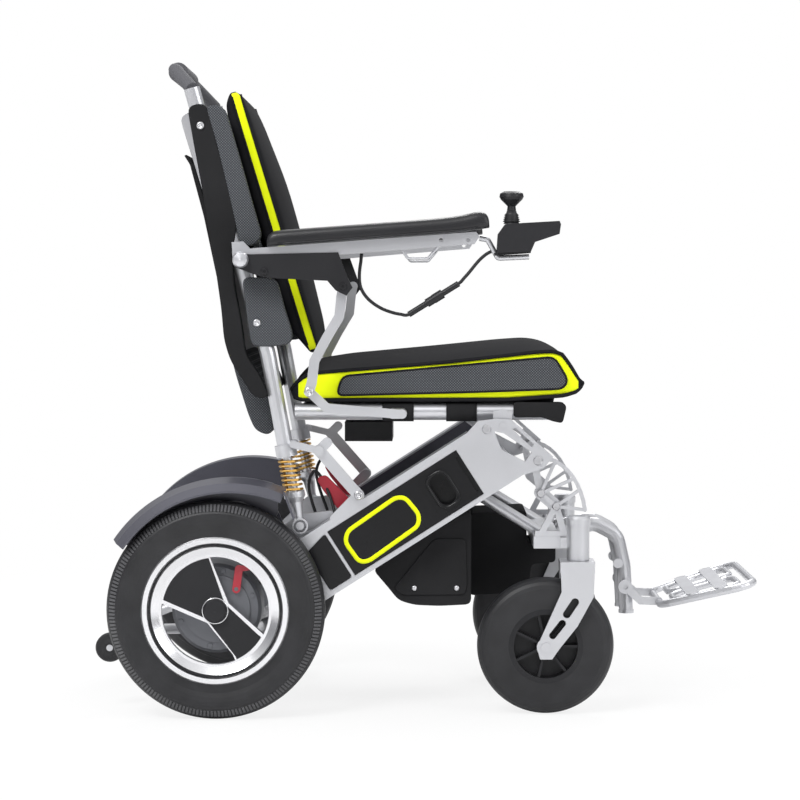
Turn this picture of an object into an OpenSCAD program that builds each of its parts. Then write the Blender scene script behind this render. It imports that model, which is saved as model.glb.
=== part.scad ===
// Folding power wheelchair. X is forward, Y is left, Z is up; the floor is Z = 0.
// Each side is modelled on +Y and mirrored for the right side.

/* [Rear wheels] */
// Diameter of a rear tyre
tyre_d = 325; // [300:1:345]
// Width of a rear tyre
tyre_w = 56; // [50:1:60]
// Diameter of the wheel rim
rim_d = 220; // [205:1:235]
// Distance of the rear axle behind the middle
axle_back = 314.7; // [306:0.1:322]
// Distance of a rear tyre's middle from the mid-plane
wheel_y = 270; // [269:0.5:274]

/* [Casters] */
// Diameter of a caster tyre
caster_d = 206; // [190:1:212]
// Width of a caster tyre
caster_w = 46; // [40:1:48]
// Swivel axis of the casters, forward of the middle
swivel_x = 226.5; // [222:0.5:234]
// Trail of the caster wheel behind its swivel axis
caster_trail = 49; // [42:0.5:54]
// Distance of a caster from the mid-plane
caster_y = 215; // [212:0.5:218]

/* [Battery frames] */
// Slope of the side frames
box_slope = 32.5; // [31:0.1:34]
// Length of a side frame along its lower edge
box_len = 353.5; // [340:0.5:360]
// Height of a side frame, square to its slope
box_h = 98; // [94:0.5:100]
// Inner face of a side frame, from the mid-plane
box_in = 180; // [176:0.5:184]
// Outer face of a side frame, from the mid-plane
box_out = 236; // [232:0.5:236]
// Wall of a side frame
box_wall = 6; // [4:0.5:8]

/* [Seat and back] */
// Height of the seat rail's middle
seat_z = 454; // [450:0.5:458]
// Diameter of the seat rails
rail_d = 25; // [22:0.5:26]
// Half width of the seat cushion
cushion_half_w = 212; // [190:1:214]
// Diameter of the back tubes
back_d = 24; // [22:0.5:26]
// Distance of a back tube from the mid-plane
back_y = 229; // [228:0.5:231]
// Height of the top of the back tubes
back_top_z = 938; // [900:1:950]

/* [Armrests] */
// Width of an arm pad
pad_w = 46; // [38:1:48]
// Length of an arm pad
pad_len = 330; // [300:1:345]
// Width of the arm rail's square tube
arm_rail_w = 20; // [16:0.5:22]

/* [Footrest] */
// Diameter of the footrest hangers
hanger_d = 22; // [18:0.5:24]
// Diameter of the footplate's tube
foot_d = 12; // [10:0.5:14]
// Half width of the footplate at its front
foot_half_w = 160; // [140:1:170]

/* [Suspension springs] */
// Curls of each spring
spring_curls = 7; // [5:1:9]
// Wire of each spring
spring_wire = 4; // [3:0.1:4.4]
// Outer diameter of each spring
spring_od = 31; // [28:0.5:33]

/* [Hidden] */
$fn = 64;
fine = 96;

// ---- points of the frame, as [x, z] ----
axle = [-axle_back, tyre_d / 2];
box_foot = [-154.8, 171.3];
fold_pivot = [-191, 284];
carrier_pivot = [-115, 292];
seat_pivot = bx(367, 79);
link_foot = [-103, 331];
link_knee = [-162, 398];
link_head = [-200, 407];
arm_pivot = [-276, 682];
strut_foot = [-176, 486];
strut_head = [-125, 643];
foot_pivot = [308, 175];
strut_tilt = 10.6;
caster_axle = [swivel_x - caster_trail, caster_d / 2];
anti_tip = [-483.8, 93];

// A point of the side frame: s runs up its slope and n square to it.
function bx(s, n) = [
  box_foot[0] + s * cos(box_slope) - n * sin(box_slope),
  box_foot[1] + s * sin(box_slope) + n * cos(box_slope)];
// A point of the back: a runs up the shock's axis from the fold pivot.
function up_strut(a) = [fold_pivot[0] - a * sin(strut_tilt), fold_pivot[1] + a * cos(strut_tilt)];
function at_y(p, y) = [p[0], y, p[1]];
function mid(a, b, t) = a + (b - a) * t;
function cat(lists) = [for (l = lists) for (p = l) p];

// Lateral layers of the linkage, from the mid-plane
rail_y = 198;
link_lower_y = [243, 247.5];
link_upper_y = [247.8, 252.6];
seat_arm_y = [254.5, 259.5];
strut_y = [261, 267];
bracket_y = [268.5, 278.5];
cover_y = [279, 284];
pad_y = 269;
arm_rail_y = 268;
frame_arm_y = [160, 172];

// ---- helpers ----
module side(name) {
  if (name == "right") mirror([0, 1, 0]) children();
  else children();
}
module both() {
  children();
  mirror([0, 1, 0]) children();
}
module rod(a, b, d) {
  v = b - a;
  translate(a) rotate([0, acos(v[2] / norm(v)), atan2(v[1], v[0])]) cylinder(d = d, h = norm(v));
}
// A plate in the XZ plane from y0 to y1
module plate(y0, y1) {
  translate([0, y1, 0]) rotate([90, 0, 0]) linear_extrude(y1 - y0) children();
}
module pin(p, y0, y1, d) {
  translate([p[0], y1, p[1]]) rotate([90, 0, 0]) cylinder(d = d, h = y1 - y0);
}
module ring(p, y0, y1, od, id) {
  difference() {
    pin(p, y0, y1, od);
    pin(p, y0 - 1, y1 + 1, id);
  }
}
// A flat bar between two [x, z] points, with round ends
module bar2d(a, b, w) {
  v = b - a;
  translate(a) rotate(atan2(v[1], v[0])) translate([0, 0.1 - w / 2]) square([norm(v), w - 0.2]);
  translate(a) circle(d = w);
  translate(b) circle(d = w);
}
module chain2d(pts, w) {
  for (i = [0 : len(pts) - 2]) bar2d(pts[i], pts[i + 1], w);
}
// A bent tube through points, with elbows of bend radius r
function unit(v) = v / norm(v);
function turn(pts, i) = acos(min(1, max(-1, unit(pts[i] - pts[i - 1]) * unit(pts[i + 1] - pts[i]))));
function trim(pts, i, r) =
  (i == 0 || i == len(pts) - 1) ? 0 : r * tan(turn(pts, i) / 2);
// [point, direction] pairs along a path whose corners are rounded to radius r
function bend(pts, i, r) =
  let (u = unit(pts[i] - pts[i - 1]), w = unit(pts[i + 1] - pts[i]), a = turn(pts, i),
       inward = unit(w - u), centre = pts[i] + inward * r / cos(a / 2),
       from = unit(pts[i] - u * trim(pts, i, r) - centre), steps = max(1, ceil(a / 15)))
  [for (k = [0 : steps]) let (t = a * k / steps)
    [centre + r * (from * cos(t) + u * sin(t)), u * cos(t) - from * sin(t)]];
function open_path(pts, r) = let (last = len(pts) - 1) concat(
  [[pts[0], unit(pts[1] - pts[0])]],
  [for (i = [1 : last - 1]) each bend(pts, i, r)],
  [[pts[last], unit(pts[last] - pts[last - 1])]]);
function closed_path(pts, r) = let (n = len(pts), q = [for (i = [0 : n + 1]) pts[i % n]])
  [for (i = [1 : n]) each bend(q, i, r)];
function tube_rings(path, d, flat, sides) = [for (p = path)
  let (up = cross(p[1], flat))
  [for (i = [0 : sides - 1]) p[0] + d / 2 * (flat * cos(360 * i / sides) - up * sin(360 * i / sides))]];
module bent_tube(pts, d, r, flat = [0, 1, 0], sides = 16) {
  loft(tube_rings(open_path(pts, r), d, flat, sides));
}
module bent_loop(pts, d, r, flat, sides = 12) {
  loft(tube_rings(closed_path(pts, r), d, flat, sides), closed = true);
}
// Skins a row of closed rings of points, with flat ends or joined to itself
module loft(rings, closed = false) {
  n = len(rings[0]);
  m = len(rings);
  spans = closed ? m - 1 : m - 2;
  polyhedron(cat(rings), concat(
    [for (j = [0 : spans]) for (i = [0 : n - 1]) let (k = (j + 1) % m, h = (i + 1) % n) each [
      [j * n + i, j * n + h, k * n + i], [j * n + h, k * n + h, k * n + i]]],
    closed ? [] : [[for (i = [n - 1 : -1 : 0]) i], [for (i = [0 : n - 1]) (m - 1) * n + i]]));
}
// Turns a profile of [radius, y] points about an axis along Y through p
module lathe(p) {
  translate([p[0], 0, p[1]]) rotate([90, 0, 0]) mirror([0, 0, 1])
    rotate_extrude($fn = fine) children();
}
// Rounded rectangle in the slope's own directions, centred at (s, n)
module slope2d(s, n, ls, ln, r) {
  translate(bx(s, n)) rotate(box_slope) rounded2d(ls, ln, r);
}
module rounded2d(w, h, r) {
  square([w - 2 * r, h], center = true);
  square([w, h - 2 * r], center = true);
  for (x = [-1, 1]) for (y = [-1, 1]) translate([x * (w / 2 - r), y * (h / 2 - r)]) circle(r, $fn = 32);
}

// ---- side frames and their covers ----
box_cut = 37.5;        // how far the front end leans back over the frame's height
battery_s = [60, 288];
battery_n = [8, 85];
bay_play = 0.5;
module box2d() {
  polygon([bx(0, 0), bx(box_len, 0), bx(box_len - box_cut, box_h), bx(12, box_h), bx(0, 66)]);
}
module side_frame() {
  color("silver") difference() {
    plate(box_in, box_out) box2d();
    plate(box_in + box_wall, box_out + 1)
      polygon([
        bx(battery_s[0] - bay_play, battery_n[0] - bay_play),
        bx(battery_s[1] + bay_play, battery_n[0] - bay_play),
        bx(battery_s[1] + bay_play, battery_n[1] + bay_play),
        bx(battery_s[0] - bay_play, battery_n[1] + bay_play)]);
    // pocket of the rear end cover
    plate(box_out - 3, box_out + 1)
      polygon([bx(16, 8), bx(55, 8), bx(55, 85), bx(16, 75)]);
  }
  // carrier hinge stub
  color("silver") pin(carrier_pivot, frame_arm_y[0] - 6, box_in + 2, 13.9);
  // lug of the lower fold link
  color("silver") {
    plate(box_out - 9, box_out) chain2d([bx(80, box_h - 3), link_foot], 16);
    pin(link_foot, box_out, link_lower_y[1] - 0.5, 9.9);
  }
  color([0.1, 0.1, 0.1]) plate(box_out - 3, box_out + 0.5)
    polygon([bx(16.3, 8.3), bx(54.7, 8.3), bx(54.7, 84.7), bx(16.3, 74.7)]);
}
module inner_covers() {
  color([0.28, 0.28, 0.31]) both() difference() {
    plate(box_in - 2.5, box_in) polygon([
      bx(4, 3), bx(box_len - 4, 3), bx(box_len - box_cut, box_h - 3), bx(14, box_h - 3), bx(4, 64)]);
    pin(carrier_pivot, box_in - 3, box_in + 1, 22);
    for (p = cross_points) pin(p, box_in - 3, box_in + 1, 27);
  }
}
cross_points = [bx(110, 30), bx(250, 60)];
module cross_tubes() {
  color("silver") {
    for (p = cross_points) pin(p, -box_in, box_in, 25.4);
    translate([160, -208, 248]) cube([40, 416, 18]);
    for (y = [-120, 120]) rod(at_y(bx(250, 60), y), [185, y, 258], 18);
  }
}
module front_plates() {
  color("silver") both() difference() {
    plate(box_out - 8, box_out) polygon([
      bx(box_len - box_cut, box_h), bx(339, 104.5), bx(364.5, 92.5), bx(382.5, 79.5), bx(405.5, -1.5),
      bx(384.5, -8), bx(box_len + 2.5, -1.2), bx(box_len, 0)]);
    plate(box_out - 9, box_out + 1) polygon([bx(352, 78), bx(362, 68), bx(382, 22), bx(366, 15), bx(346, 50)]);
    plate(box_out - 9, box_out + 1) polygon([bx(376, 66), bx(381, 66), bx(391, 30), bx(386, 28)]);
    pin(seat_pivot, box_out - 9, box_out + 1, 10.1);
  }
}
module frame_bolts() {
  color("gainsboro") both() {
    for (p = [bx(343.4, 87), bx(383, 6)]) bolt(p, box_out, 14);
    for (p = [bracket_top, bracket_mid]) bolt(p, 213, 13);
    for (x = [168, 192]) translate([x, 150, 266]) cylinder(d = 10, h = 4);
  }
}
module bolt(p, y, d) {
  difference() {
    lathe(p) polygon([[0, y], [d / 2, y], [d / 2, y + 1.5], [d / 2 - 1.5, y + 3.2], [0, y + 3.2]]);
    translate([p[0], y + 1.4, p[1]]) rotate([-90, 0, 0]) cylinder(d = d * 0.45, h = 4, $fn = 6);
  }
}

// ---- front bracket, caster heads and footrest hangers ----
bracket_top = [170.4, 331.4];
bracket_mid = [193.6, 312];
bracket_low = [199.8, 291.9];
bar_top = 266;
module front_brackets() {
  color("silver") both() {
    plate(196, 206) {
      chain2d([bx(376, 2), bracket_top], 11);
      chain2d([bracket_top, bracket_mid], 19);
      chain2d([bracket_mid, bracket_low, [205, bar_top + 5]], 10);
      chain2d([bracket_mid, [172, bar_top + 5]], 9);
      translate([162, bar_top]) square([44, 8]);
    }
    plate(208, 213) {
      chain2d(rib_arc(), 6);
      chain2d([rib(0.1), bracket_top], 5);
      chain2d([rib(0.45), bracket_top], 5);
      chain2d([rib(0.6), bracket_mid], 5);
      chain2d([rib(0.84), bracket_mid], 5);
      chain2d([bracket_top, bracket_mid], 7);
    }
    pin(bracket_top, 206, 208, 16);
    pin(bracket_mid, 206, 208, 16);
    plate(205, box_out - 8) chain2d([bx(372, 4), bx(390, 4)], 9);
    plate(208, box_out - 8) chain2d([rib(0), rib(0.03)], 6);
  }
}
// Outer rib of the bracket, a quarter arc from the plate to the caster head
function rib(t) = [168 + 70 * sin(90 * t * 0.9 + 12), 290 + 96 * cos(90 * t * 0.9 + 12)];
function rib_arc() = [for (k = [0 : 8]) rib(k / 8 * 0.84)];
head_z = [231.5, 285];
head_d = 34;
module caster_heads() {
  color("silver") both() {
    difference() {
      translate([swivel_x, caster_y, head_z[0]]) cylinder(d = head_d, h = head_z[1] - head_z[0]);
      translate([swivel_x, caster_y, head_z[0] - 1]) cylinder(d = 18, h = 45);
    }
    difference() {
      translate([200, 160, 249]) cube([swivel_x - 200, caster_y - 160, 16]);
      translate([swivel_x, caster_y, 240]) cylinder(d = head_d - 1, h = 40);
    }
    color([0.25, 0.26, 0.3]) translate([swivel_x, caster_y, head_z[1]])
      rotate_extrude($fn = fine) polygon([[0, 0], [18.5, 0], [18.5, 9], [15.5, 13], [0, 14.5]]);
  }
}
hanger_y = 45;
hanger_path = [[196, 257], [262, 272], [296, 254], [307, 205], [311, 136]];
module footrest_hangers() {
  color("silver") both() difference() {
    bent_tube([for (p = hanger_path) at_y(p, hanger_y)], hanger_d, 26);
    pin(foot_pivot, hanger_y - 20, hanger_y + 20, 10.1);
    translate([150, hanger_y - 20, 240]) cube([50.1, 40, 34]);
  }
  color([0.12, 0.12, 0.12]) both() {
    translate([311.2, hanger_y, 132]) cylinder(d = hanger_d + 2, h = 5);
    translate([297, hanger_y + hanger_d / 2 - 2, 211]) rotate([-90, 0, 0]) cylinder(d = 15, h = 9);
    translate([204.2, hanger_y, 258.9]) rotate([0, 77, 0]) cylinder(d = hanger_d + 5, h = 14);
  }
}

// ---- storage bag under the frame ----
module storage_bag() {
  color([0.12, 0.12, 0.13]) {
    plate(-200, 200) polygon([bx(80, -0.4), [-42, 165], [18, 159], [66, 162], bx(262, -0.4)]);
    plate(-76, 76) polygon([[60, 162], [148, 166], [160, 212], [200, 214], [200, 244], [154, 244],
      [154, 296], [60, 290]]);
  }
}

// ---- rear carrier, motors, fenders ----
module axle_carrier() {
  color([0.62, 0.62, 0.65]) {
    both() difference() {
      union() {
        plate(frame_arm_y[0], frame_arm_y[1]) {
          chain2d([carrier_pivot, fold_pivot], 26);
          chain2d([fold_pivot, [-262, 214], axle], 30);
          chain2d([carrier_pivot, [-200, 232], [-262, 205]], 16);
        }
        pin(fold_pivot, frame_arm_y[1], back_y + 8, 12);
      }
      pin(carrier_pivot, frame_arm_y[0] - 1, frame_arm_y[1] + 1, 14);
    }
    pin([-262, 210], -frame_arm_y[0], frame_arm_y[0], 32);
    pin([-205, 262], -frame_arm_y[0], frame_arm_y[0], 16);
  }
}
motor_d = 134;
module motor() {
  color([0.5, 0.5, 0.53]) {
    difference() {
      lathe(axle) polygon([[0, frame_arm_y[1]], [58, frame_arm_y[1]], [motor_d / 2, 184],
        [motor_d / 2, 252], [62, 258], [50, 258], [50, 261], [14, 263], [14, 269.7], [0, 269.7]]);
      for (a = [20 : 60 : 320]) translate([axle[0] + 57 * cos(a), 255.5, axle[1] + 57 * sin(a)])
        rotate([-90, 0, 0]) cylinder(d = 8, h = 9);
    }
    for (a = [20 : 60 : 320]) translate([axle[0] + 57 * cos(a), 255.5, axle[1] + 57 * sin(a)])
      rotate([-90, 0, 0]) cylinder(d = 7.4, h = 4);
    pin(axle, 269, wheel_y + 12, 16);
    pin(lever_pivot, 258, 268.5, 6);
  }
}
lever_pivot = [axle[0] + 30, axle[1] + 30];
module clutch_lever() {
  color([0.75, 0.1, 0.15]) {
    plate(264, 268) difference() {
      union() {
        chain2d([lever_pivot, lever_pivot + [4, 30]], 12);
        chain2d([lever_pivot + [4, 30], lever_pivot + [22, 33]], 9);
      }
      translate(lever_pivot) circle(d = 6.1);
    }
  }
}
fender_centre = [-292, 148];
fender_r = 210;
function at_fender(a, in) = fender_centre + (fender_r - in) * [cos(a), sin(a)];
module fender() {
  color([0.28, 0.28, 0.32]) {
    translate([fender_centre[0], 0, fender_centre[1]]) rotate([90, 0, 0]) {
      rotate_extrude(angle = 73, start = 73, $fn = 128) polygon([
        [fender_r - 3, -236.7], [fender_r, -236.7], [fender_r + 1.5, -268], [fender_r - 6, -290],
        [fender_r - 17, -300], [fender_r - 20, -300], [fender_r - 19, -297], [fender_r - 9, -288],
        [fender_r - 2, -268], [fender_r - 3, -239.5], [fender_r - 36, -239.5], [fender_r - 36, -236.7]]);
      rotate_extrude(angle = 6.5, start = 67, $fn = 128) polygon([
        [fender_r - 2.4, -247], [fender_r + 0.1, -247], [fender_r + 1.1, -268], [fender_r - 6.4, -290],
        [fender_r - 17.2, -299.6], [fender_r - 19.6, -299.6], [fender_r - 18.6, -297], [fender_r - 8.7, -288],
        [fender_r - 1.6, -268]]);
    }
    plate(248, 298.5) polygon([at_fender(67.2, 1.2), at_fender(57.7, 30.2), at_fender(58.3, 32.6), at_fender(67.6, 3.5)]);
    // skirt plate and its foot on the carrier
    plate(236.7, 239.5) polygon([at_fender(72.8, 3.8), at_fender(69.9, 12),
      [-224, 303], [-232, 298], at_fender(92.5, 24.8), at_fender(92.3, 7.8)]);
    plate(frame_arm_y[1], 239.5) chain2d([[-241, 305], [-229, 300]], 5);
    plate(frame_arm_y[1], frame_arm_y[1] + 5) chain2d([[-241, 305], [-229, 300], [-216, 270]], 5);
  }
}
module anti_tip_arms() {
  color("silver") both() {
    bent_tube([[-273, 150, 197.9], [-330, 150, 120], [-420, 150, 118], at_y(anti_tip, 150)], 16, 30);
    pin(anti_tip, 141, 163, 16);
    pin(anti_tip, 163, 182, 9.9);
  }
}
module anti_tip_wheel() {
  color([0.15, 0.15, 0.16]) lathe(anti_tip) polygon([[13, 164], [20, 164], [22, 167], [22, 177], [20, 180], [13, 180]]);
  color("silver") lathe(anti_tip) polygon([[5, 163.3], [13, 164], [13, 180], [9, 181], [5, 181]]);
}

// ---- rear wheels ----
tread_blocks = 72;
module rear_tyre() {
  h = tyre_w / 2;
  r = tyre_d / 2;
  b = rim_d / 2;
  color([0.16, 0.16, 0.17]) difference() {
    lathe(axle) polygon(cat([
      [[b, wheel_y - h + 6], [b, wheel_y + h - 6]],
      [for (a = [0 : 15 : 90]) [b + 12 + (r - b - 26) * sin(a) * 1.0, wheel_y + h - 4 + 4 * sin(2 * a)]],
      [[r - 3, wheel_y + h - 14], [r, wheel_y + 8], [r, wheel_y - 8], [r - 3, wheel_y - h + 14]],
      [for (a = [90 : -15 : 0]) [b + 12 + (r - b - 26) * sin(a), wheel_y - h + 4 - 4 * sin(2 * a)]]
    ]));
    for (i = [0 : tread_blocks - 1]) rotate_about(axle, i * 360 / tread_blocks)
      for (s = [-1, 1]) translate([r - 13, wheel_y + s * (h - 2) - 4, -1.1]) cube([14, 8, 2.2]);
  }
}
module rotate_about(p, a) {
  translate([p[0], 0, p[1]]) rotate([0, a, 0]) children();
}
window_r = 80;
module windows2d() {
  translate(axle) {
    intersection() {
      circle(window_r, $fn = fine);
      polygon([[-6.8, 77], [20, 11], [66.5, -30.6], [120, -80], [120, 120], [-30, 130]]);
    }
    intersection() {
      circle(window_r, $fn = fine);
      polygon([[-80, 11], [-11.7, -18.3], [26, -65], [50, -120], [-120, -120], [-120, 28]]);
    }
  }
}
module panel2d() {
  translate(axle) difference() {
    circle(window_r - 1, $fn = fine);
    polygon([[-10, 80], [14.5, 10.5], [62, -34], [120, -80], [120, 120], [-30, 130]]);
    polygon([[-80, 17], [-13, -12], [-8, -19], [30, -68], [50, -120], [-120, -120], [-120, 34]]);
    circle(18);
  }
}
module rear_rim() {
  b = rim_d / 2;
  color([0.8, 0.8, 0.83]) difference() {
    lathe(axle) polygon([[8.05, wheel_y], [24, wheel_y], [24, wheel_y + 6], [88, wheel_y + 6],
      [b - 6, wheel_y - 22], [b, wheel_y - 24], [b, wheel_y + 23], [b - 2, wheel_y + 25], [b - 9, wheel_y + 25],
      [b - 10, wheel_y + 21], [b - 14, wheel_y + 21], [b - 15, wheel_y + 24],
      [84, wheel_y + 18], [60, wheel_y + 18], [40, wheel_y + 18], [8.05, wheel_y + 18]]);
    plate(wheel_y - 10, wheel_y + 30) windows2d();
    plate(wheel_y + 16, wheel_y + 30) panel2d();
    lathe(axle) polygon([[0, wheel_y + 14], [18, wheel_y + 14], [18, wheel_y + 30], [0, wheel_y + 30]]);
  }
}
module rim_panel() {
  color([0.1, 0.1, 0.11]) {
    plate(wheel_y + 16, wheel_y + 19) offset_panel();
    lathe(axle) polygon([[0, wheel_y + 14], [17.7, wheel_y + 14], [17.7, wheel_y + 26], [15, wheel_y + 29], [0, wheel_y + 30]]);
  }
}
module offset_panel() {
  translate(axle) difference() {
    circle(window_r - 1.4, $fn = fine);
    polygon([[-10.4, 80], [14.1, 10.3], [61.7, -34.3], [120, -80.5], [120, 120], [-30, 130]]);
    polygon([[-80, 17.5], [-12.8, -11.6], [-7.6, -18.8], [30.3, -67.7], [51, -120], [-120, -120], [-120, 34.5]]);
    circle(18.4);
  }
}

// ---- casters ----
fork_in = caster_w / 2 + 3;
module caster_fork() {
  color("silver") {
    difference() {
      union() {
        for (y = [caster_y - fork_in - 6, caster_y + fork_in]) plate(y, y + 6) fork2d();
        plate(caster_y - fork_in - 0.1, caster_y + fork_in + 0.1)
          polygon([fork_pt(-28, 231), fork_pt(24, 231), fork_pt(24, 214), fork_pt(-28, 214)]);
      }
      pin(caster_axle, caster_y - 50, caster_y + 50, 8);
    }
    translate([swivel_x, caster_y, 230.9]) cylinder(d = 17.9, h = 44);
    pin(caster_axle, caster_y - fork_in - 8, caster_y + fork_in + 8, 7.9);
    for (s = [-1, 1]) pin(caster_axle, caster_y + s * (fork_in + 7.5) - 1.5, caster_y + s * (fork_in + 7.5) + 1.5, 15);
  }
}
function fork_pt(dx, z) = [swivel_x + dx, z];
module fork2d() {
  c = caster_axle;
  difference() {
    union() {
      polygon([fork_pt(-28, 231), fork_pt(24, 231), fork_pt(22, 179), fork_pt(-2, 135), c + [20, -2], c + [9, -18],
        c + [-9, -18], c + [-14, 0], fork_pt(-26, 186)]);
      translate(c) circle(14);
    }
    chain2d([c + [31, 50], c + [43, 68]], 12);
    chain2d([c + [10, 18], c + [24, 36]], 11);
  }
}
module caster_tyre() {
  h = caster_w / 2;
  r = caster_d / 2;
  color([0.15, 0.15, 0.16]) lathe(caster_axle) polygon(cat([
    [[56, caster_y - h + 3], [56, caster_y + h - 3]],
    [for (a = [0 : 15 : 90]) [r - 22 + 22 * sin(a), caster_y + (h - 2) * cos(a) + 2 * sin(2 * a)]],
    [for (a = [75 : -15 : 0]) [r - 22 + 22 * sin(a), caster_y - (h - 2) * cos(a) - 2 * sin(2 * a)]]
  ]));
}
module caster_hub() {
  h = caster_w / 2;
  color([0.13, 0.13, 0.14]) difference() {
    union() {
      difference() {
        lathe(caster_axle) polygon([[48, caster_y - h + 2], [56, caster_y - h + 3], [56, caster_y + h - 3], [48, caster_y + h - 2]]);
      }
      lathe(caster_axle) polygon([[0, caster_y - 3], [50, caster_y - 3], [50, caster_y + 3], [0, caster_y + 3]]);
      lathe(caster_axle) polygon([[0, caster_y - h], [14, caster_y - h], [16, caster_y - 3], [16, caster_y + 3], [14, caster_y + h], [0, caster_y + h]]);
      for (a = [0 : 360 / 7 : 359]) rotate_about(caster_axle, a)
        translate([12, caster_y - h + 5, -2]) cube([38, caster_w - 10, 4]);
    }
    pin(caster_axle, caster_y - 50, caster_y + 50, 8);
  }
}

// ---- footplate ----
foot_rear = [361, 150];
foot_front = [500, 189];
function foot_at(t, y) = at_y(mid(foot_rear, foot_front, t), y);
function foot_side(t) = foot_rear_half_w + (foot_half_w - foot_rear_half_w) * t;
foot_rear_half_w = 96;
module footplate() {
  flat = unit([foot_rear[1] - foot_front[1], 0, foot_front[0] - foot_rear[0]]);
  color("silver") {
    bent_loop([foot_at(0, foot_side(0)), foot_at(1, foot_side(1)), foot_at(1, -foot_side(1)), foot_at(0, -foot_side(0))],
      foot_d, 24, flat);
    for (s = [-1, 1]) bent_loop([foot_at(0.16, s * 18), foot_at(0.86, s * 18), foot_at(0.86, s * (foot_side(0.86) - 26)),
      foot_at(0.16, s * (foot_side(0.16) - 20))], foot_d - 2, 18, flat);
    for (t = [0.36, 0.66]) hull() for (s = [-1, 1])
      translate(foot_at(t, s * (foot_side(t) - 8)) + flat * (foot_d / 2 - 1.5))
        rotate([0, -15.7, 0]) cylinder(d = 20, h = 3, $fn = 32);
    both() difference() {
      union() {
        plate(hanger_y + 14, hanger_y + 22) chain2d([foot_pivot, [332, 153], foot_rear + [0, 2]], 12);
        pin(foot_pivot, hanger_y - 16, hanger_y + 14, 10);
      }
    }
  }
  color([0.12, 0.12, 0.12]) both() {
    ring(foot_pivot, hanger_y + 22, hanger_y + 26, 22, 8);
  }
}

// ---- seat ----
module seat_frame() {
  color("silver") {
    both() {
      rod([-200, rail_y, seat_z], [200, rail_y, seat_z], rail_d);
      // lug on the seat pivot
      plate(rail_y, box_out - 9) translate([seat_pivot[0] - 14, seat_pivot[1] + 8]) square([28, seat_z - seat_pivot[1] - 6]);
      plate(box_out - 16, box_out - 8.8) chain2d([seat_pivot, seat_pivot + [0, 14]], 20);
      pin(seat_pivot, box_out - 9, box_out + 1.5, 10);
      // arm that carries the armrest strut, outside the back tube's path
      plate(rail_y, seat_arm_y[1]) chain2d([[-52, seat_z - 1], [-38, seat_z - 1]], 14);
      plate(seat_arm_y[0], seat_arm_y[1]) chain2d([[-45, seat_z - 1], [-150, seat_z + 8], strut_foot], 14);
      pin(strut_foot, seat_arm_y[1], strut_y[1] + 0.6, 9.9);
    }
    for (x = [-188, 44, 188]) rod([x, -rail_y, seat_z], [x, rail_y, seat_z], 18);
  }
}
module seat_sling() {
  color([0.1, 0.1, 0.1]) {
    translate([-196, -rail_y, seat_z + rail_d / 2 + 0.3]) cube([392, 2 * rail_y, 2.4]);
    for (x = [-10, 62]) both() difference() {
      rod([x, rail_y, seat_z], [x + 36, rail_y, seat_z], rail_d + 5);
      rod([x - 1, rail_y, seat_z], [x + 37, rail_y, seat_z], rail_d + 0.6);
    }
  }
}
// Side outline of the seat cushion, crowned across by its loft
cushion_floor = seat_z + rail_d / 2 + 3;
function seat_low(x) = cushion_floor + 0.2 + max(0, x - 120) * 0.05;
function seat_side(x) = 505 + (x + 204) * 0.09;
function seat_crown(x) = 528 + (x + 204) * 0.083;
function end_round(x, x0, x1, r) =
  let (a = min(1, max(0, (x - x0) / r)), b = min(1, max(0, (x1 - x) / r)))
  sqrt(1 - pow(1 - a, 2)) * sqrt(1 - pow(1 - b, 2));
function seat_ring(x, n) =
  let (f = end_round(x, -205, 234, 34), low = seat_low(x), mid_z = low + 14,
       top = mid_z + (seat_crown(x) - mid_z) * f, w = cushion_half_w - 8 * (1 - f))
  [for (i = [0 : n - 1]) let (u = -1 + 2 * i / (n - 1))
    [x, w * u, mid_z + (top - mid_z) * pow(max(0, 1 - pow(abs(u), 5)), 0.5) * (1 + 0.04 * (1 - u * u))]];
seat_xs = [-204.8, -200, -190, -172, -120, -60, 0, 60, 120, 170, 200, 220, 230, 233.8];
module seat_cushion() {
  n = 15;
  color([0.75, 0.9, 0.1]) loft([for (x = seat_xs) concat(
    [[x, -cushion_half_w + 10, seat_low(x)]],
    [for (p = seat_ring(x, n)) p],
    [[x, cushion_half_w - 10, seat_low(x)]])]);
}
module control_box() {
  color([0.1, 0.1, 0.1]) {
    difference() {
      translate([-129, -70, 402]) cube([74, 140, 30]);
      for (y = [-60 : 12 : 60]) translate([-130, y - 2, 401]) cube([76, 4, 3]);
    }
    for (y = [-50, 50]) translate([-118, y - 8, 432]) cube([52, 16, seat_z + rail_d / 2 - 432]);
  }
}

// ---- back ----
tube_foot = 118;       // start of the back tube, along the shock's axis
back_bend = up_strut(262);
back_top = [-352, back_top_z];
module back_frame() {
  color("silver") {
    both() difference() {
      union() {
        bent_tube([at_y(up_strut(tube_foot), back_y), at_y(back_bend, back_y), at_y(back_top, back_y)], back_d, 60);
        translate(at_y(up_strut(106), back_y)) rotate([0, -strut_tilt, 0]) cylinder(d = back_d + 8, h = 18);
        // pivot bosses of the upper fold link and of the armrest
        plate(back_y - 6, back_y + 6) chain2d([up_strut(116), link_head], 13);
        pin(link_head, back_y, link_upper_y[1] + 0.6, 8);
        pin(arm_pivot, back_y, cover_y[1] + 1, 11.9);
      }
      translate(at_y(up_strut(100), back_y)) rotate([0, -strut_tilt, 0]) cylinder(d = 14.1, h = 70);
    }
    for (p = [back_point(0.12), back_point(0.86)]) pin(p, -back_y, back_y, 16);
  }
  color([0.1, 0.1, 0.1]) both() lathe(arm_pivot) polygon([[0, cover_y[1] + 1], [10, cover_y[1] + 1],
    [12, cover_y[1] + 6], [10, cover_y[1] + 13], [0, cover_y[1] + 15]]);
}
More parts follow.
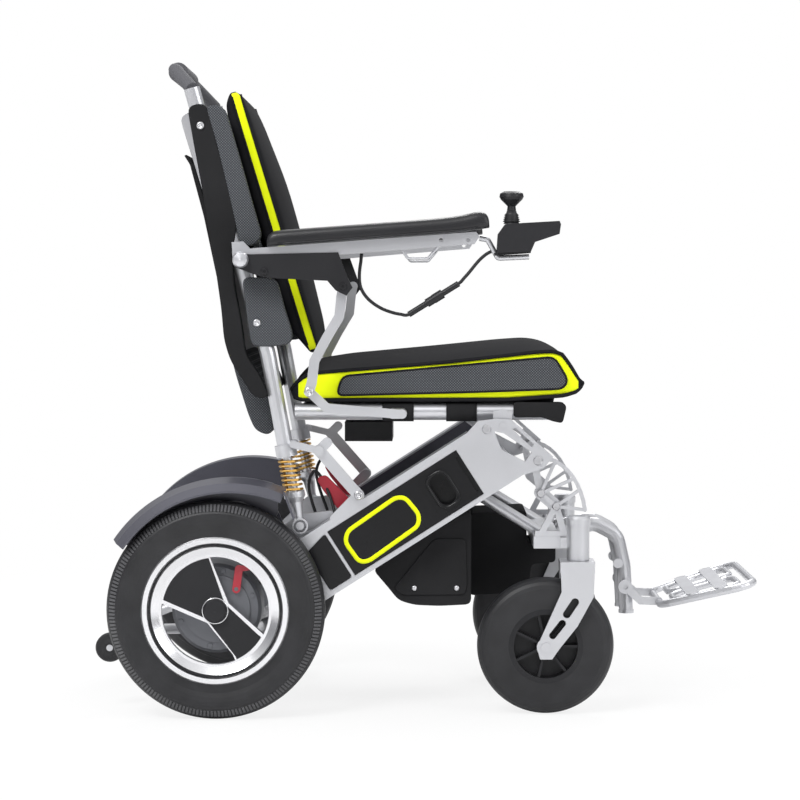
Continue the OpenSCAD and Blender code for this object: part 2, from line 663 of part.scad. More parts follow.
// A point of the upper back tube, from 0 at its bend to 1 at its top
function back_point(t) = mid(back_bend, back_top, t);
grip_d = 30;
module push_handle() {
  top = [-384, 972];
  color([0.3, 0.31, 0.33]) difference() {
    union() {
      bent_tube([at_y(back_top, -back_y), at_y(mid(back_top, top, 0.9), -190), at_y(top, -110), at_y(top, 110),
        at_y(mid(back_top, top, 0.9), 190), at_y(back_top, back_y)], 20, 18,
        unit([back_top[1] - top[1], 0, top[0] - back_top[0]]));
      rod(at_y(top, -96), at_y(top, 96), grip_d);
    }
    for (y = [-back_y, back_y]) rod(at_y(back_bend, y), at_y(back_top, y), back_d + 0.1);
  }
}
// The back's fabric: outline across the tubes, lofted up the back
lean = atan2(back_bend[0] - back_top[0], back_top[1] - back_bend[1]);
function on_back(t, forward) = back_point(t) + [forward * cos(lean), forward * sin(lean)];
sleeve_y = [215, 242.6];
sleeve_edge = [[-358, 911], [-339, 804], [-316, 667], [-304, 563], [-295, 533], [-259, 476], [-236, 476],
  [-212, 516], [-201, 559], [-226, 651], [-247, 716], [-281, 830], [-303, 912]];
module back_sling() {
  color([0.14, 0.14, 0.15]) {
    both() difference() {
      plate(sleeve_y[0], sleeve_y[1]) polygon(sleeve_edge);
      bent_tube([at_y(up_strut(tube_foot), back_y), at_y(back_bend, back_y), at_y(back_top, back_y)],
        back_d + 0.6, 60);
      pin(arm_pivot, sleeve_y[0] - 1, sleeve_y[1] + 1, 30);
      for (p = [back_point(0.12), back_point(0.86)]) pin(p, sleeve_y[0] - 1, back_y, 16.6);
    }
    plate(-195, 195) polygon([on_back(-0.1, -48), on_back(0.3, -36), on_back(0.52, -33), on_back(0.83, -38),
      on_back(0.93, -40), on_back(0.93, -35), on_back(0.83, -33), on_back(0.52, -28), on_back(0.3, -31),
      on_back(-0.1, -43)]);
    // the rear panel turns forward to meet the sleeves
    both() plate(194, sleeve_y[0] + 1) polygon([on_back(-0.1, -47.8), on_back(0.3, -35.8), on_back(0.52, -32.8),
      on_back(0.83, -37.8), on_back(0.93, -39.8), on_back(0.925, -14), on_back(0.52, -22), on_back(0.3, -30),
      on_back(-0.1, -42)]);
    plate(-sleeve_y[0] - 1, sleeve_y[0] + 1)
      polygon([on_back(0.03, 28), on_back(0.92, 28), on_back(0.92, 33.6), on_back(0.03, 33.6)]);
    plate(-150, 150) polygon([[-318, 640], [-341, 749], [-362, 828], [-370, 841], [-362, 841], [-352, 826],
      [-331, 749], [-308, 643]]);
  }
}
module back_cushion() {
  n = 15;
  ts = [0.0, 0.015, 0.05, 0.1, 0.2, 0.35, 0.5, 0.65, 0.8, 0.9, 0.96, 0.99, 1.0];
  color([0.1, 0.1, 0.11]) loft([for (t = ts)
    let (f = end_round(t, -0.001, 1.001, 0.07), w = 186 - 14 * (1 - f), d = 20 + 28 * f)
    concat([for (u = [1, -1]) back_pt(t, 34, u * (w - 6))],
      [for (i = [0 : n - 1]) let (u = -1 + 2 * i / (n - 1))
        back_pt(t, 36 + d * pow(max(0, 1 - pow(abs(u), 5)), 0.5), w * u)])]);
}
function back_pt(t, forward, y) = at_y(on_back(t, forward), y);

// ---- suspension struts ----
module shock_rods() {
  color("gainsboro") both() {
    difference() {
      union() {
        translate(at_y(up_strut(0), back_y)) rotate([0, -strut_tilt, 0]) cylinder(d = 14, h = 150);
        translate(at_y(up_strut(14), back_y)) rotate([0, -strut_tilt, 0]) cylinder(d1 = 14, d2 = 22, h = 30);
        translate(at_y(up_strut(44), back_y)) rotate([0, -strut_tilt, 0]) cylinder(d = 32, h = 8);
        translate(at_y(up_strut(36), back_y)) rotate([0, -strut_tilt, 0]) cylinder(d1 = 20, d2 = 32, h = 8);
        pin(fold_pivot, back_y - 7, back_y + 7, 24);
      }
      pin(fold_pivot, back_y - 10, back_y + 10, 19);
    }
  }
}
spring_span = [52.3, 105.7];
function curl(i, rings, span, curls, r) =
  let (t = i / rings) [r * cos(360 * curls * t), r * sin(360 * curls * t), span[0] + (span[1] - span[0]) * t];
spring_rings = spring_curls * 8;
spring_r = (spring_od - spring_wire) / 2;
coil_points = [for (i = [0 : spring_rings]) curl(i, spring_rings,
  [spring_span[0] + spring_wire / 2, spring_span[1] - spring_wire / 2], spring_curls, spring_r)];
coil_gap = min([for (i = [0 : spring_rings - 8]) for (k = [i + 6 : min(i + 10, spring_rings)])
  norm(coil_points[k] - coil_points[i])]) - spring_wire;
echo(spring_least_gap = coil_gap);
module coil_tube(pts, d, k) {
  m = len(pts);
  rings = [for (j = [0 : m - 1])
    let (tan = unit(pts[min(j + 1, m - 1)] - pts[max(j - 1, 0)]),
         side = unit([pts[j][0], pts[j][1], 0]), up = cross(tan, side))
    [for (i = [0 : k - 1]) pts[j] + d / 2 * (side * cos(360 * i / k) + up * sin(360 * i / k))]];
  loft(rings);
}
module shock_springs() {
  color([0.87, 0.65, 0.2]) both()
    translate(at_y(fold_pivot, back_y)) rotate([0, -strut_tilt, 0]) coil_tube(coil_points, spring_wire, 6);
}

// ---- fold links ----
module fold_link_lower() {
  color("silver") both() plate(link_lower_y[0], link_lower_y[1]) difference() {
    union() {
      bar2d(link_foot, link_knee, 17);
      bar2d(link_knee, [-150, 410], 15);
    }
    translate(link_foot) circle(d = 10);
  }
}
module fold_link_upper() {
  color([0.35, 0.35, 0.37]) both() {
    plate(link_upper_y[0], link_upper_y[1]) difference() {
      bar2d(link_head, link_knee, 11);
      translate(link_head) circle(d = 8.1);
    }
    pin(link_knee, link_upper_y[0], link_upper_y[1] + 1.2, 15);
  }
}

// ---- armrests ----
module arm_bracket() {
  outline = [[-262, 690], [-132, 693], [-118, 655], [-111, 641], [-120, 629], [-136, 637], [-148, 651],
    [-232, 655], [-252, 659], arm_pivot + [-8, -11], arm_pivot + [-11, 0], arm_pivot + [-6, 10]];
  color([0.12, 0.12, 0.13]) difference() {
    union() {
      plate(cover_y[0], cover_y[1]) polygon(outline);
      plate(bracket_y[0], cover_y[0]) polygon([[-240, 668], [-150, 671], [-118, 655], [-111, 641],
        [-120, 629], [-136, 637], [-148, 651], [-232, 655]]);
    }
    pin(arm_pivot, bracket_y[0], cover_y[1] + 1, 12);
  }
  color("gainsboro") {
    bolt([-240.9, 665], cover_y[1], 11);
    bolt(strut_head, cover_y[1], 11);
  }
}
module arm_strut() {
  color("silver") plate(strut_y[0], strut_y[1]) difference() {
    union() {
      chain2d([strut_foot, [-172, 500], [-168, 532], [-150, 566], [-131, 598], [-128, 627], strut_head], 15);
    }
    translate(strut_foot) circle(d = 10);
  }
}
rail_rise = 4.2;
rail_len = pad_len + 20;
function on_rail(a, up) = arm_pivot + [a * cos(rail_rise) - up * sin(rail_rise), a * sin(rail_rise) + up * cos(rail_rise)];
module arm_rail() {
  y0 = arm_rail_y - arm_rail_w / 2;
  color("silver") {
    difference() {
      plate(y0, y0 + arm_rail_w) polygon([on_rail(-12, -6), on_rail(-12, 14), on_rail(20, 15.8), on_rail(rail_len, 15.8),
        on_rail(rail_len + 4, 8), on_rail(rail_len - 4, -2), on_rail(14, -4)]);
      pin(arm_pivot, y0 - 1, y0 + arm_rail_w + 1, 12);
      // holes for a tray or a side guard
      for (x = [20, 60]) pin([x, 711], y0 - 1, y0 + arm_rail_w + 1, 6.2);
    }
    plate(y0 + 4, y0 + arm_rail_w - 4) polygon([on_rail(-12, 14), on_rail(-12, 27), on_rail(5, 27), on_rail(16, 14)]);
    // folded latch under the rail
    bent_tube([at_y(on_rail(238, -2), y0 + 6), at_y(on_rail(246, -16), y0 + 6),
      at_y(on_rail(276, -18), y0 + 6), at_y(on_rail(292, -2), y0 + 6)], 4, 5);
  }
}
module arm_pad() {
  // padded top: a crowned sweep along the rail, raised at its front end
  n = 11;
  color([0.1, 0.1, 0.1]) loft([for (a = [0, 3, 10, 30, 90, 150, 210, 270, 300, 315, 325, 329.5, 330])
    let (s = a * pad_len / 330, f = end_round(s, -0.01, pad_len + 0.01, 14), x = 40 + s,
         low = 16 + (s > pad_len - 40 ? (s - pad_len + 40) * 0.1 : 0), h = 6 + 18 * f + (a > 270 ? (a - 270) * 0.07 : 0))
    concat([for (u = [1, -1]) at_y(on_rail(x, low), pad_y + u * (pad_w / 2 - 5))],
      [for (i = [0 : n - 1]) let (u = -1 + 2 * i / (n - 1))
        at_y(on_rail(x, low + 5 + (h - 5) * pow(max(0, 1 - pow(abs(u), 4)), 0.5)), pad_y + u * (pad_w / 2 - 4 + 4 * f))])]);
}

// ---- batteries ----
module battery() {
  color([0.1, 0.1, 0.11]) difference() {
    plate(box_in + box_wall + bay_play, box_out + 1.5) polygon([
      bx(battery_s[0], battery_n[0]), bx(battery_s[1], battery_n[0]),
      bx(battery_s[1], battery_n[1]), bx(battery_s[0], battery_n[1])]);
    // hand grip and the moulded step round it
    plate(box_out - 24, box_out + 2) slope2d(grip_s, 46, 27, 48, 12);
    plate(box_out + 0.5, box_out + 2) difference() {
      slope2d(grip_s + 10, 46, 72, 66, 8);
      slope2d(grip_s, 46, 40, 60, 12);
    }
    plate(box_out - 3, box_out + 2) slope2d(battery_s[1] - 5, 46, 4, 60, 1.9);
  }
}
grip_s = 240;

// ---- controller and joystick ----
ctrl = [pad_len - 206, 690];
ctrl_y = 268;
function at_ctrl(p) = [ctrl[0] + p[0], ctrl[1] + p[1]];
module controller() {
  color([0.12, 0.12, 0.13]) difference() {
    union() {
      plate(ctrl_y - 26, ctrl_y + 26) polygon([for (p = [[-22, 2], [-20, 30], [-10, 44], [16, 46], [70, 49], [72, 44],
        [70, 30], [34, 18], [28, 4]]) at_ctrl(p)]);
      plate(ctrl_y - 20, ctrl_y + 20) polygon([for (p = [[-26, -2], [-26, 2], [28, 8], [28, 2]]) at_ctrl(p)]);
    }
    translate([ctrl[0], ctrl_y, ctrl[1] + 22]) cylinder(d = 38, h = 40);
    pin(at_ctrl([0, 33]), ctrl_y - 21.5, ctrl_y + 21.5, 4.1);
    // charging socket under the nose
    translate([ctrl[0] + 50, ctrl_y, ctrl[1] + 10]) cylinder(d = 18, h = 16);
    translate([ctrl[0] + 50, ctrl_y, ctrl[1] + 25]) cylinder(d = 12, h = 14);
  }
  // curved bracket from the rail to the plate under the controller
  color("silver") {
    bent_tube([at_y(on_rail(rail_len + 3.9, 6), arm_rail_y), at_y(on_rail(rail_len + 16, 3), arm_rail_y),
      [ctrl[0] - 20, arm_rail_y, ctrl[1] - 5.5], [ctrl[0] + 26, arm_rail_y, ctrl[1] - 3.5]], 8, 5);
  }
}
module joystick_ring() {
  color([0.1, 0.1, 0.1]) translate([ctrl[0], ctrl_y, ctrl[1] + 33]) {
    difference() {
      rotate_extrude($fn = 48) polygon([[7, -4], [14, -3], [14, 3], [7, 4]]);
      rotate([0, 90, 0]) cylinder(d = 3.5, h = 40, center = true);
    }
    for (y = [13.5, -21]) translate([0, y, 0]) rotate([-90, 0, 0]) cylinder(d = 4, h = 7.5);
  }
}
module joystick() {
  color([0.1, 0.1, 0.1]) translate([ctrl[0], ctrl_y, ctrl[1] + 33]) {
    translate([0, 0, -3]) cylinder(d = 8, h = 37);
    rotate([0, 90, 0]) cylinder(d = 3.4, h = 26, center = true);
    translate([0, 0, 12]) rotate_extrude($fn = 48) polygon([[0, 0], [12, 0], [10, 4], [11, 6], [8, 10], [9, 12], [6, 17], [0, 17]]);
    translate([0, 0, 30]) rotate_extrude($fn = 48) polygon([[0, 0], [7, 0], [6, 8], [16, 18], [18, 22], [17, 27], [11, 30], [0, 29]]);
  }
}

// ---- controller cord ----
cord_d = 5;
cord_y = -261;
cord_route = [[-98, 691.5], [-99, 680], [-101, 665], [-101, 650], [-98, 638], [-90, 626], [-79, 616.5],
  [-66, 609], [-52, 604], [-40, 601.58], [-29.85, 601.15]];
cord_end = [ctrl[0] - 22.5, ctrl[1] + 5];
cord_route_front = [[46.6, 647.6], [54, 655], [62, 664], [70, 674], cord_end + [-23.5, -12], cord_end + [-14.5, -4.5],
  cord_end + [-6.5, -0.5], cord_end];
module cord_tube(route) {
  k = 8;
  pts = [for (p = route) at_y(p, cord_y)];
  m = len(pts);
  loft([for (j = [0 : m - 1])
    let (tan = unit(pts[min(j + 1, m - 1)] - pts[max(j - 1, 0)]), side = [0, 1, 0], up = cross(side, tan))
    [for (i = [0 : k - 1]) pts[j] + cord_d / 2 * (side * cos(360 * i / k) - up * sin(360 * i / k))]]);
}
module controller_cord() {
  color([0.1, 0.1, 0.1]) {
    cord_tube(cord_route);
    cord_tube(cord_route_front);
  }
}
module cord_connector() {
  a = [-28, cord_y, 601];
  b = [46, cord_y, 647];
  color([0.15, 0.15, 0.16]) {
    rod(a, mid(a, b, 0.5), 9);
    rod(mid(a, b, 0.36), mid(a, b, 0.5), 13);
    rod(mid(a, b, 0.5), b, 9);
    rod(mid(a, b, 0.5), mid(a, b, 0.68), 14);
  }
}

side("right") side_frame();  // side_frame_right
side("left") side_frame();  // side_frame_left
inner_covers();
cross_tubes();
front_plates();
front_brackets();
caster_heads();
footrest_hangers();
storage_bag();
frame_bolts();
axle_carrier();
side("right") motor();  // motor_right
side("left") motor();  // motor_left
side("right") fender();  // fender_right
side("left") fender();  // fender_left
anti_tip_arms();
side("right") clutch_lever();  // clutch_lever_right
side("left") clutch_lever();  // clutch_lever_left
side("right") anti_tip_wheel();  // anti_tip_wheel_right
side("left") anti_tip_wheel();  // anti_tip_wheel_left
side("right") rear_tyre();  // rear_tyre_right
side("left") rear_tyre();  // rear_tyre_left
side("right") rear_rim();  // rear_rim_right
side("left") rear_rim();  // rear_rim_left
side("right") rim_panel();  // rim_panel_right
side("left") rim_panel();  // rim_panel_left
side("right") caster_fork();  // caster_fork_right
side("left") caster_fork();  // caster_fork_left
side("right") caster_tyre();  // caster_tyre_right
side("left") caster_tyre();  // caster_tyre_left
side("right") caster_hub();  // caster_hub_right
side("left") caster_hub();  // caster_hub_left
footplate();
seat_frame();
seat_sling();
seat_cushion();
control_box();
back_frame();
push_handle();
back_sling();
back_cushion();
shock_rods();
shock_springs();
fold_link_lower();
fold_link_upper();
side("right") arm_bracket();  // arm_bracket_right
side("left") arm_bracket();  // arm_bracket_left
side("right") arm_strut();  // arm_strut_right
side("left") arm_strut();  // arm_strut_left
side("right") arm_rail();  // arm_rail_right
side("left") arm_rail();  // arm_rail_left
side("right") arm_pad();  // arm_pad_right
side("left") arm_pad();  // arm_pad_left
side("right") battery();  // battery_right
side("left") battery();  // battery_left
side("right") controller();
side("right") joystick_ring();
side("right") joystick();
controller_cord();
cord_connector();
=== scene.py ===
# A folding power wheelchair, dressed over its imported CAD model.
# Lengths are millimetres, turned into metres by MM where Blender needs them.
import math

import bmesh
import bpy
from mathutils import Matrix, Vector


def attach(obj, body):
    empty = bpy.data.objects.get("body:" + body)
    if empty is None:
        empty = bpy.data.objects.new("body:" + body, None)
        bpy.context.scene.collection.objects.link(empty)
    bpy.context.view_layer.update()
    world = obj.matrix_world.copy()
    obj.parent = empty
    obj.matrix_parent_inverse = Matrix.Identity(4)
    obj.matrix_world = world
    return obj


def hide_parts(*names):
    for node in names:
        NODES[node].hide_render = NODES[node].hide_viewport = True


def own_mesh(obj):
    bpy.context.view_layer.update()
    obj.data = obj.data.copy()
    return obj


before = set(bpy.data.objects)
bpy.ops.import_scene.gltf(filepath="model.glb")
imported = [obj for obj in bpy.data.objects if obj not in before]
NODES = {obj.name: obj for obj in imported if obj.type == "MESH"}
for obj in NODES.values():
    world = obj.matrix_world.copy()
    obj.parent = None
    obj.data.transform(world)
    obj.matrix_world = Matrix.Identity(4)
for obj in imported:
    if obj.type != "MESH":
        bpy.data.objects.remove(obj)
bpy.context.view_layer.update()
MM = 0.001
SIDES = {"right": -1, "left": 1}


def at(x, y, z):
    return Vector((x, y, z)) * MM


# ---- camera and light ----
PHOTO_PX = 800
FOCAL_PX = 2776
SENSOR_MM = 36
CAMERA_AT = at(3.5, -4382, 644.7)
AIM_SLOPES = (-0.0108, -0.0414)  # how far the camera turns from +Y, towards X and Z
SKY_LOW, SKY_SIDE, SKY_TOP = (0.2, 0.2, 0.21, 1), (0.3, 0.305, 0.32, 1), (1, 1, 1, 1)
SKY_SIDE_AT, SKY_TOP_AT = 0.22, 0.75  # heights in the sky, where 0 is level and 1 is overhead
FLOOR_SIZE = 60
GLOW_NEAR = 0.82  # the share of its own light that the floor shows near the chair; far off it is 1
GLOW_FROM, GLOW_TO = 0.7, 2  # metres from the origin between which that share rises
# name: place, target, disk size, watts
LIGHTS = {
    "key": ((-1.6, -2.8, 3.2), (0, 0, 0.5), 1.6, 95),
    "fill": ((2.6, -2.4, 1.6), (0, 0, 0.4), 1.8, 30),
    "rim": ((0.4, 2.6, 2.6), (0, 0, 0.6), 1.4, 40),
}


def make_camera():
    data = bpy.data.cameras.new("camera")
    data.sensor_width = SENSOR_MM
    data.lens = FOCAL_PX / PHOTO_PX * SENSOR_MM
    camera = bpy.data.objects.new("camera", data)
    bpy.context.scene.collection.objects.link(camera)
    camera.location = CAMERA_AT
    look = Vector((AIM_SLOPES[0], 1, AIM_SLOPES[1]))
    camera.rotation_euler = look.to_track_quat("-Z", "Y").to_euler()
    bpy.context.scene.camera = camera


def area_light(name, place, target, size, watts):
    data = bpy.data.lights.new(name, "AREA")
    data.shape = "DISK"
    data.size = size
    data.energy = watts
    light = bpy.data.objects.new(name, data)
    bpy.context.scene.collection.objects.link(light)
    light.location = place
    light.rotation_euler = (Vector(target) - Vector(place)).to_track_quat("-Z", "Y").to_euler()


def make_world(scene):
    """Bright overhead and dim at the sides for light and reflections, and white to the camera."""
    world = bpy.data.worlds.new("studio")
    scene.world = world
    world.use_nodes = True
    tree = world.node_tree
    soft = tree.nodes["Background"]
    way = tree.nodes.new("ShaderNodeSeparateXYZ")
    tree.links.new(tree.nodes.new("ShaderNodeTexCoord").outputs["Generated"], way.inputs["Vector"])
    grade = tree.nodes.new("ShaderNodeValToRGB")
    stops = grade.color_ramp.elements
    stops[0].position = 0.0
    stops[0].color = SKY_LOW
    stops[1].position = SKY_TOP_AT
    stops[1].color = SKY_TOP
    stops.new(SKY_SIDE_AT).color = SKY_SIDE
    tree.links.new(way.outputs["Z"], grade.inputs["Fac"])
    tree.links.new(grade.outputs["Color"], soft.inputs["Color"])
    white = tree.nodes.new("ShaderNodeBackground")
    white.inputs["Color"].default_value = (1, 1, 1, 1)
    seen = tree.nodes.new("ShaderNodeLightPath").outputs["Is Camera Ray"]
    mix = tree.nodes.new("ShaderNodeMixShader")
    tree.links.new(seen, mix.inputs["Fac"])
    tree.links.new(soft.outputs["Background"], mix.inputs[1])
    tree.links.new(white.outputs["Background"], mix.inputs[2])
    tree.links.new(mix.outputs["Shader"], tree.nodes["World Output"].inputs["Surface"])


def floor_paint():
    """White, and partly its own light to the camera, so that it meets the backdrop.

    That part is smaller near the chair, where the floor keeps the shadow.
    """
    material = bpy.data.materials.new("floor_paint")
    material.use_nodes = True
    tree = material.node_tree
    shader = tree.nodes["Principled BSDF"]
    shader.inputs["Base Color"].default_value = (0.9, 0.9, 0.9, 1)
    shader.inputs["Roughness"].default_value = 0.9
    glow = tree.nodes.new("ShaderNodeEmission")
    ray = tree.nodes.new("ShaderNodeLightPath")
    share = tree.nodes.new("ShaderNodeMath")
    share.operation = "MULTIPLY"
    reach = tree.nodes.new("ShaderNodeVectorMath")
    reach.operation = "LENGTH"
    tree.links.new(tree.nodes.new("ShaderNodeTexCoord").outputs["Object"], reach.inputs[0])
    fade = tree.nodes.new("ShaderNodeMapRange")
    fade.inputs["From Min"].default_value = GLOW_FROM
    fade.inputs["From Max"].default_value = GLOW_TO
    fade.inputs["To Min"].default_value = GLOW_NEAR
    tree.links.new(reach.outputs["Value"], fade.inputs["Value"])
    tree.links.new(ray.outputs["Is Camera Ray"], share.inputs[0])
    tree.links.new(fade.outputs["Result"], share.inputs[1])
    mix = tree.nodes.new("ShaderNodeMixShader")
    tree.links.new(share.outputs["Value"], mix.inputs["Fac"])
    tree.links.new(shader.outputs["BSDF"], mix.inputs[1])
    tree.links.new(glow.outputs["Emission"], mix.inputs[2])
    tree.links.new(mix.outputs["Shader"], tree.nodes["Material Output"].inputs["Surface"])
    return material


def make_studio():
    scene = bpy.context.scene
    scene.view_settings.view_transform = "Standard"
    make_world(scene)
    for name, (place, target, size, watts) in LIGHTS.items():
        area_light(name, place, target, size, watts)
    bpy.ops.mesh.primitive_plane_add(size=FLOOR_SIZE, location=(0, 0, 0))
    floor = bpy.context.object
    floor.name = "floor"
    floor.data.materials.append(floor_paint())


# ---- materials ----
COAT_ROUGH = 0.12
GLOSS_DOWN, GLOSS_UP = 0.07, 0.09  # how far the roughness strays to each side
BUMP_STRENGTH = 0.6


def finish(name, color, rough, metal, grain, shade, patch=9, coat=0.0, sheen=0.0, speck=None,
           mirror=0.5):
    """A procedural material: its colour and gloss vary over patches.

    grain is (kind, scale, height in millimetres). speck is a second colour on the grain.
    """
    material = bpy.data.materials.new(name)
    material.use_nodes = True
    tree = material.node_tree
    shader = tree.nodes["Principled BSDF"]
    shader.inputs["Metallic"].default_value = metal
    shader.inputs["Specular IOR Level"].default_value = mirror
    shader.inputs["Coat Weight"].default_value = coat
    shader.inputs["Coat Roughness"].default_value = COAT_ROUGH
    shader.inputs["Sheen Weight"].default_value = sheen
    place = tree.nodes.new("ShaderNodeTexCoord").outputs["Object"]
    patches = tree.nodes.new("ShaderNodeTexNoise")
    patches.inputs["Scale"].default_value = patch
    patches.inputs["Detail"].default_value = 6
    tree.links.new(place, patches.inputs["Vector"])
    ramp = tree.nodes.new("ShaderNodeValToRGB")
    ramp.color_ramp.elements[0].position = 0.3
    ramp.color_ramp.elements[1].position = 0.7
    ramp.color_ramp.elements[0].color = [c * (1 - shade) for c in color] + [1]
    ramp.color_ramp.elements[1].color = [min(1, c * (1 + shade)) for c in color] + [1]
    tree.links.new(patches.outputs["Fac"], ramp.inputs["Fac"])
    colour = ramp.outputs["Color"]
    gloss = tree.nodes.new("ShaderNodeMapRange")
    gloss.inputs["To Min"].default_value = max(0.03, rough - GLOSS_DOWN)
    gloss.inputs["To Max"].default_value = min(1, rough + GLOSS_UP)
    tree.links.new(patches.outputs["Fac"], gloss.inputs["Value"])
    tree.links.new(gloss.outputs["Result"], shader.inputs["Roughness"])
    kind, scale, height = grain
    relief = GRAINS[kind](tree, place, scale)
    bump = tree.nodes.new("ShaderNodeBump")
    bump.inputs["Strength"].default_value = BUMP_STRENGTH
    bump.inputs["Distance"].default_value = height * MM
    tree.links.new(relief, bump.inputs["Height"])
    tree.links.new(bump.outputs["Normal"], shader.inputs["Normal"])
    if speck:
        mix = tree.nodes.new("ShaderNodeMix")
        mix.data_type = "RGBA"
        tree.links.new(relief, mix.inputs["Factor"])
        tree.links.new(colour, mix.inputs["A"])
        mix.inputs["B"].default_value = (*speck, 1)
        colour = mix.outputs["Result"]
    tree.links.new(colour, shader.inputs["Base Color"])
    return material


def noise_grain(tree, place, scale):
    node = tree.nodes.new("ShaderNodeTexNoise")
    node.inputs["Scale"].default_value = scale
    node.inputs["Detail"].default_value = 4
    tree.links.new(place, node.inputs["Vector"])
    return node.outputs["Fac"]


def cell_grain(tree, place, scale):
    node = tree.nodes.new("ShaderNodeTexVoronoi")
    node.inputs["Scale"].default_value = scale
    tree.links.new(place, node.inputs["Vector"])
    return node.outputs["Distance"]


def wave(tree, place, scale, axis):
    node = tree.nodes.new("ShaderNodeTexWave")
    node.bands_direction = axis
    node.inputs["Scale"].default_value = scale
    tree.links.new(place, node.inputs["Vector"])
    return node.outputs["Fac"]


def weave_grain(tree, place, scale):
    """Warp and weft, turned 45 degrees in the side view."""
    turned = tree.nodes.new("ShaderNodeMapping")
    turned.inputs["Rotation"].default_value = (0, math.radians(45), 0)
    tree.links.new(place, turned.inputs["Vector"])
    cross = tree.nodes.new("ShaderNodeMath")
    cross.operation = "MULTIPLY"
    tree.links.new(wave(tree, turned.outputs["Vector"], scale, "X"), cross.inputs[0])
    tree.links.new(wave(tree, turned.outputs["Vector"], scale, "Z"), cross.inputs[1])
    return cross.outputs["Value"]


def brushed_grain(tree, place, scale):
    stretch = tree.nodes.new("ShaderNodeMapping")
    stretch.inputs["Scale"].default_value = (1, 12, 12)
    tree.links.new(place, stretch.inputs["Vector"])
    return noise_grain(tree, stretch.outputs["Vector"], scale)


GRAINS = {"noise": noise_grain, "cells": cell_grain, "weave": weave_grain,
          "brushed": brushed_grain}


def make_materials():
    return {
        "silver": finish("silver_paint", (0.6, 0.605, 0.63), 0.34, 0.75,
                         ("noise", 900, 0.03), 0.04, coat=0.25),
        "polished": finish("polished_alloy", (0.78, 0.78, 0.8), 0.2, 0.95,
                           ("brushed", 120, 0.02), 0.03),
        "slate": finish("slate_paint", (0.085, 0.085, 0.105), 0.34, 0.35,
                        ("noise", 700, 0.03), 0.08, coat=0.3),
        "plastic": finish("black_plastic", (0.014, 0.014, 0.016), 0.42, 0.0,
                          ("noise", 1400, 0.05), 0.2, mirror=0.32),
        "gloss": finish("black_gloss", (0.007, 0.007, 0.008), 0.24, 0.0,
                        ("noise", 300, 0.01), 0.15, coat=0.08, mirror=0.22),
        "tyre": finish("tyre_rubber", (0.02, 0.02, 0.022), 0.46, 0.0,
                       ("noise", 260, 0.12), 0.25, patch=25, mirror=0.36),
        # painted highlight: the tyre rubber made lighter on the lugs, where light catches them
        "tread": finish("lug_highlight_rubber", (0.075, 0.075, 0.08), 0.42, 0.0,
                        ("noise", 260, 0.1), 0.25),
        "nylon": finish("black_nylon", (0.018, 0.018, 0.019), 0.8, 0.0,
                        ("weave", 260, 0.15), 0.2, mirror=0.08),
        "quilt": finish("cushion_black", (0.014, 0.014, 0.016), 0.86, 0.0,
                        ("weave", 420, 0.12), 0.18, mirror=0.08),
        "lime": finish("lime_fabric", (0.82, 0.93, 0.004), 0.72, 0.0,
                       ("weave", 380, 0.08), 0.05, sheen=0.2, mirror=0.12),
        "mesh": finish("grey_mesh", (0.035, 0.037, 0.043), 0.75, 0.0,
                       ("weave", 110, 0.5), 0.12, speck=(0.17, 0.18, 0.19), mirror=0.12),
        "panel": finish("grey_panel", (0.33, 0.33, 0.35), 0.8, 0.0,
                        ("weave", 200, 0.15), 0.08, sheen=0.2, mirror=0.12),
        "leather": finish("pad_leather", (0.012, 0.012, 0.014), 0.38, 0.0,
                          ("cells", 420, 0.25), 0.2, mirror=0.42),
        "gold": finish("spring_gold", (0.72, 0.42, 0.1), 0.3, 0.75,
                       ("noise", 300, 0.03), 0.1, coat=0.3),
        "red": finish("lever_red", (0.42, 0.012, 0.03), 0.36, 0.2,
                      ("noise", 300, 0.04), 0.12, coat=0.4),
        "cast": finish("motor_cast", (0.16, 0.165, 0.18), 0.5, 0.6,
                       ("noise", 420, 0.2), 0.12),
        "zinc": finish("bolt_zinc", (0.62, 0.62, 0.64), 0.28, 0.9,
                       ("noise", 400, 0.02), 0.08),
        "foam": finish("grip_foam", (0.1, 0.1, 0.11), 0.78, 0.0,
                       ("noise", 520, 0.25), 0.1),
    }


# ---- mesh builders ----
def mesh_piece(name, verts, faces, materials, smooth=True):
    data = bpy.data.meshes.new(name)
    data.from_pydata([tuple(v) for v in verts], [], faces)
    for material in materials:
        data.materials.append(material)
    piece = bpy.data.objects.new(name, data)
    bpy.context.scene.collection.objects.link(piece)
    shell = bmesh.new()
    shell.from_mesh(data)
    bmesh.ops.recalc_face_normals(shell, faces=shell.faces)
    shell.to_mesh(data)
    shell.free()
    for face in data.polygons:
        face.use_smooth = smooth
    return piece


def loft(name, rings, materials, closed=False, paint=None):
    """Skins rings of points. paint(ring, step) gives a face's material index."""
    n, m = len(rings[0]), len(rings)
    verts = [p for ring in rings for p in ring]
    faces = []
    index = []
    for j in range(m if closed else m - 1):
        for i in range(n):
            k, h = (j + 1) % m, (i + 1) % n
            faces.append((j * n + i, j * n + h, k * n + h, k * n + i))
            index.append(paint(j, i) if paint else 0)
    if not closed:
        faces += [tuple(range(n)), tuple((m - 1) * n + i for i in range(n))]
        index += [0, 0]
    piece = mesh_piece(name, verts, faces, materials)
    for face, value in zip(piece.data.polygons, index):
        face.material_index = value
    return piece


def smooth_path(points, steps):
    """Catmull-Rom through the points."""
    pts = [Vector(p) for p in points]
    last = len(pts) - 1
    path = []
    for i in range(last):
        a, b, c, d = [pts[min(max(k, 0), last)] for k in range(i - 1, i + 3)]
        for s in range(steps):
            t = s / steps
            path.append(0.5 * (2 * b + (c - a) * t + (2 * a - 5 * b + 4 * c - d) * t * t
                               + (3 * b - a - 3 * c + d) * t ** 3))
    path.append(pts[-1])
    return path


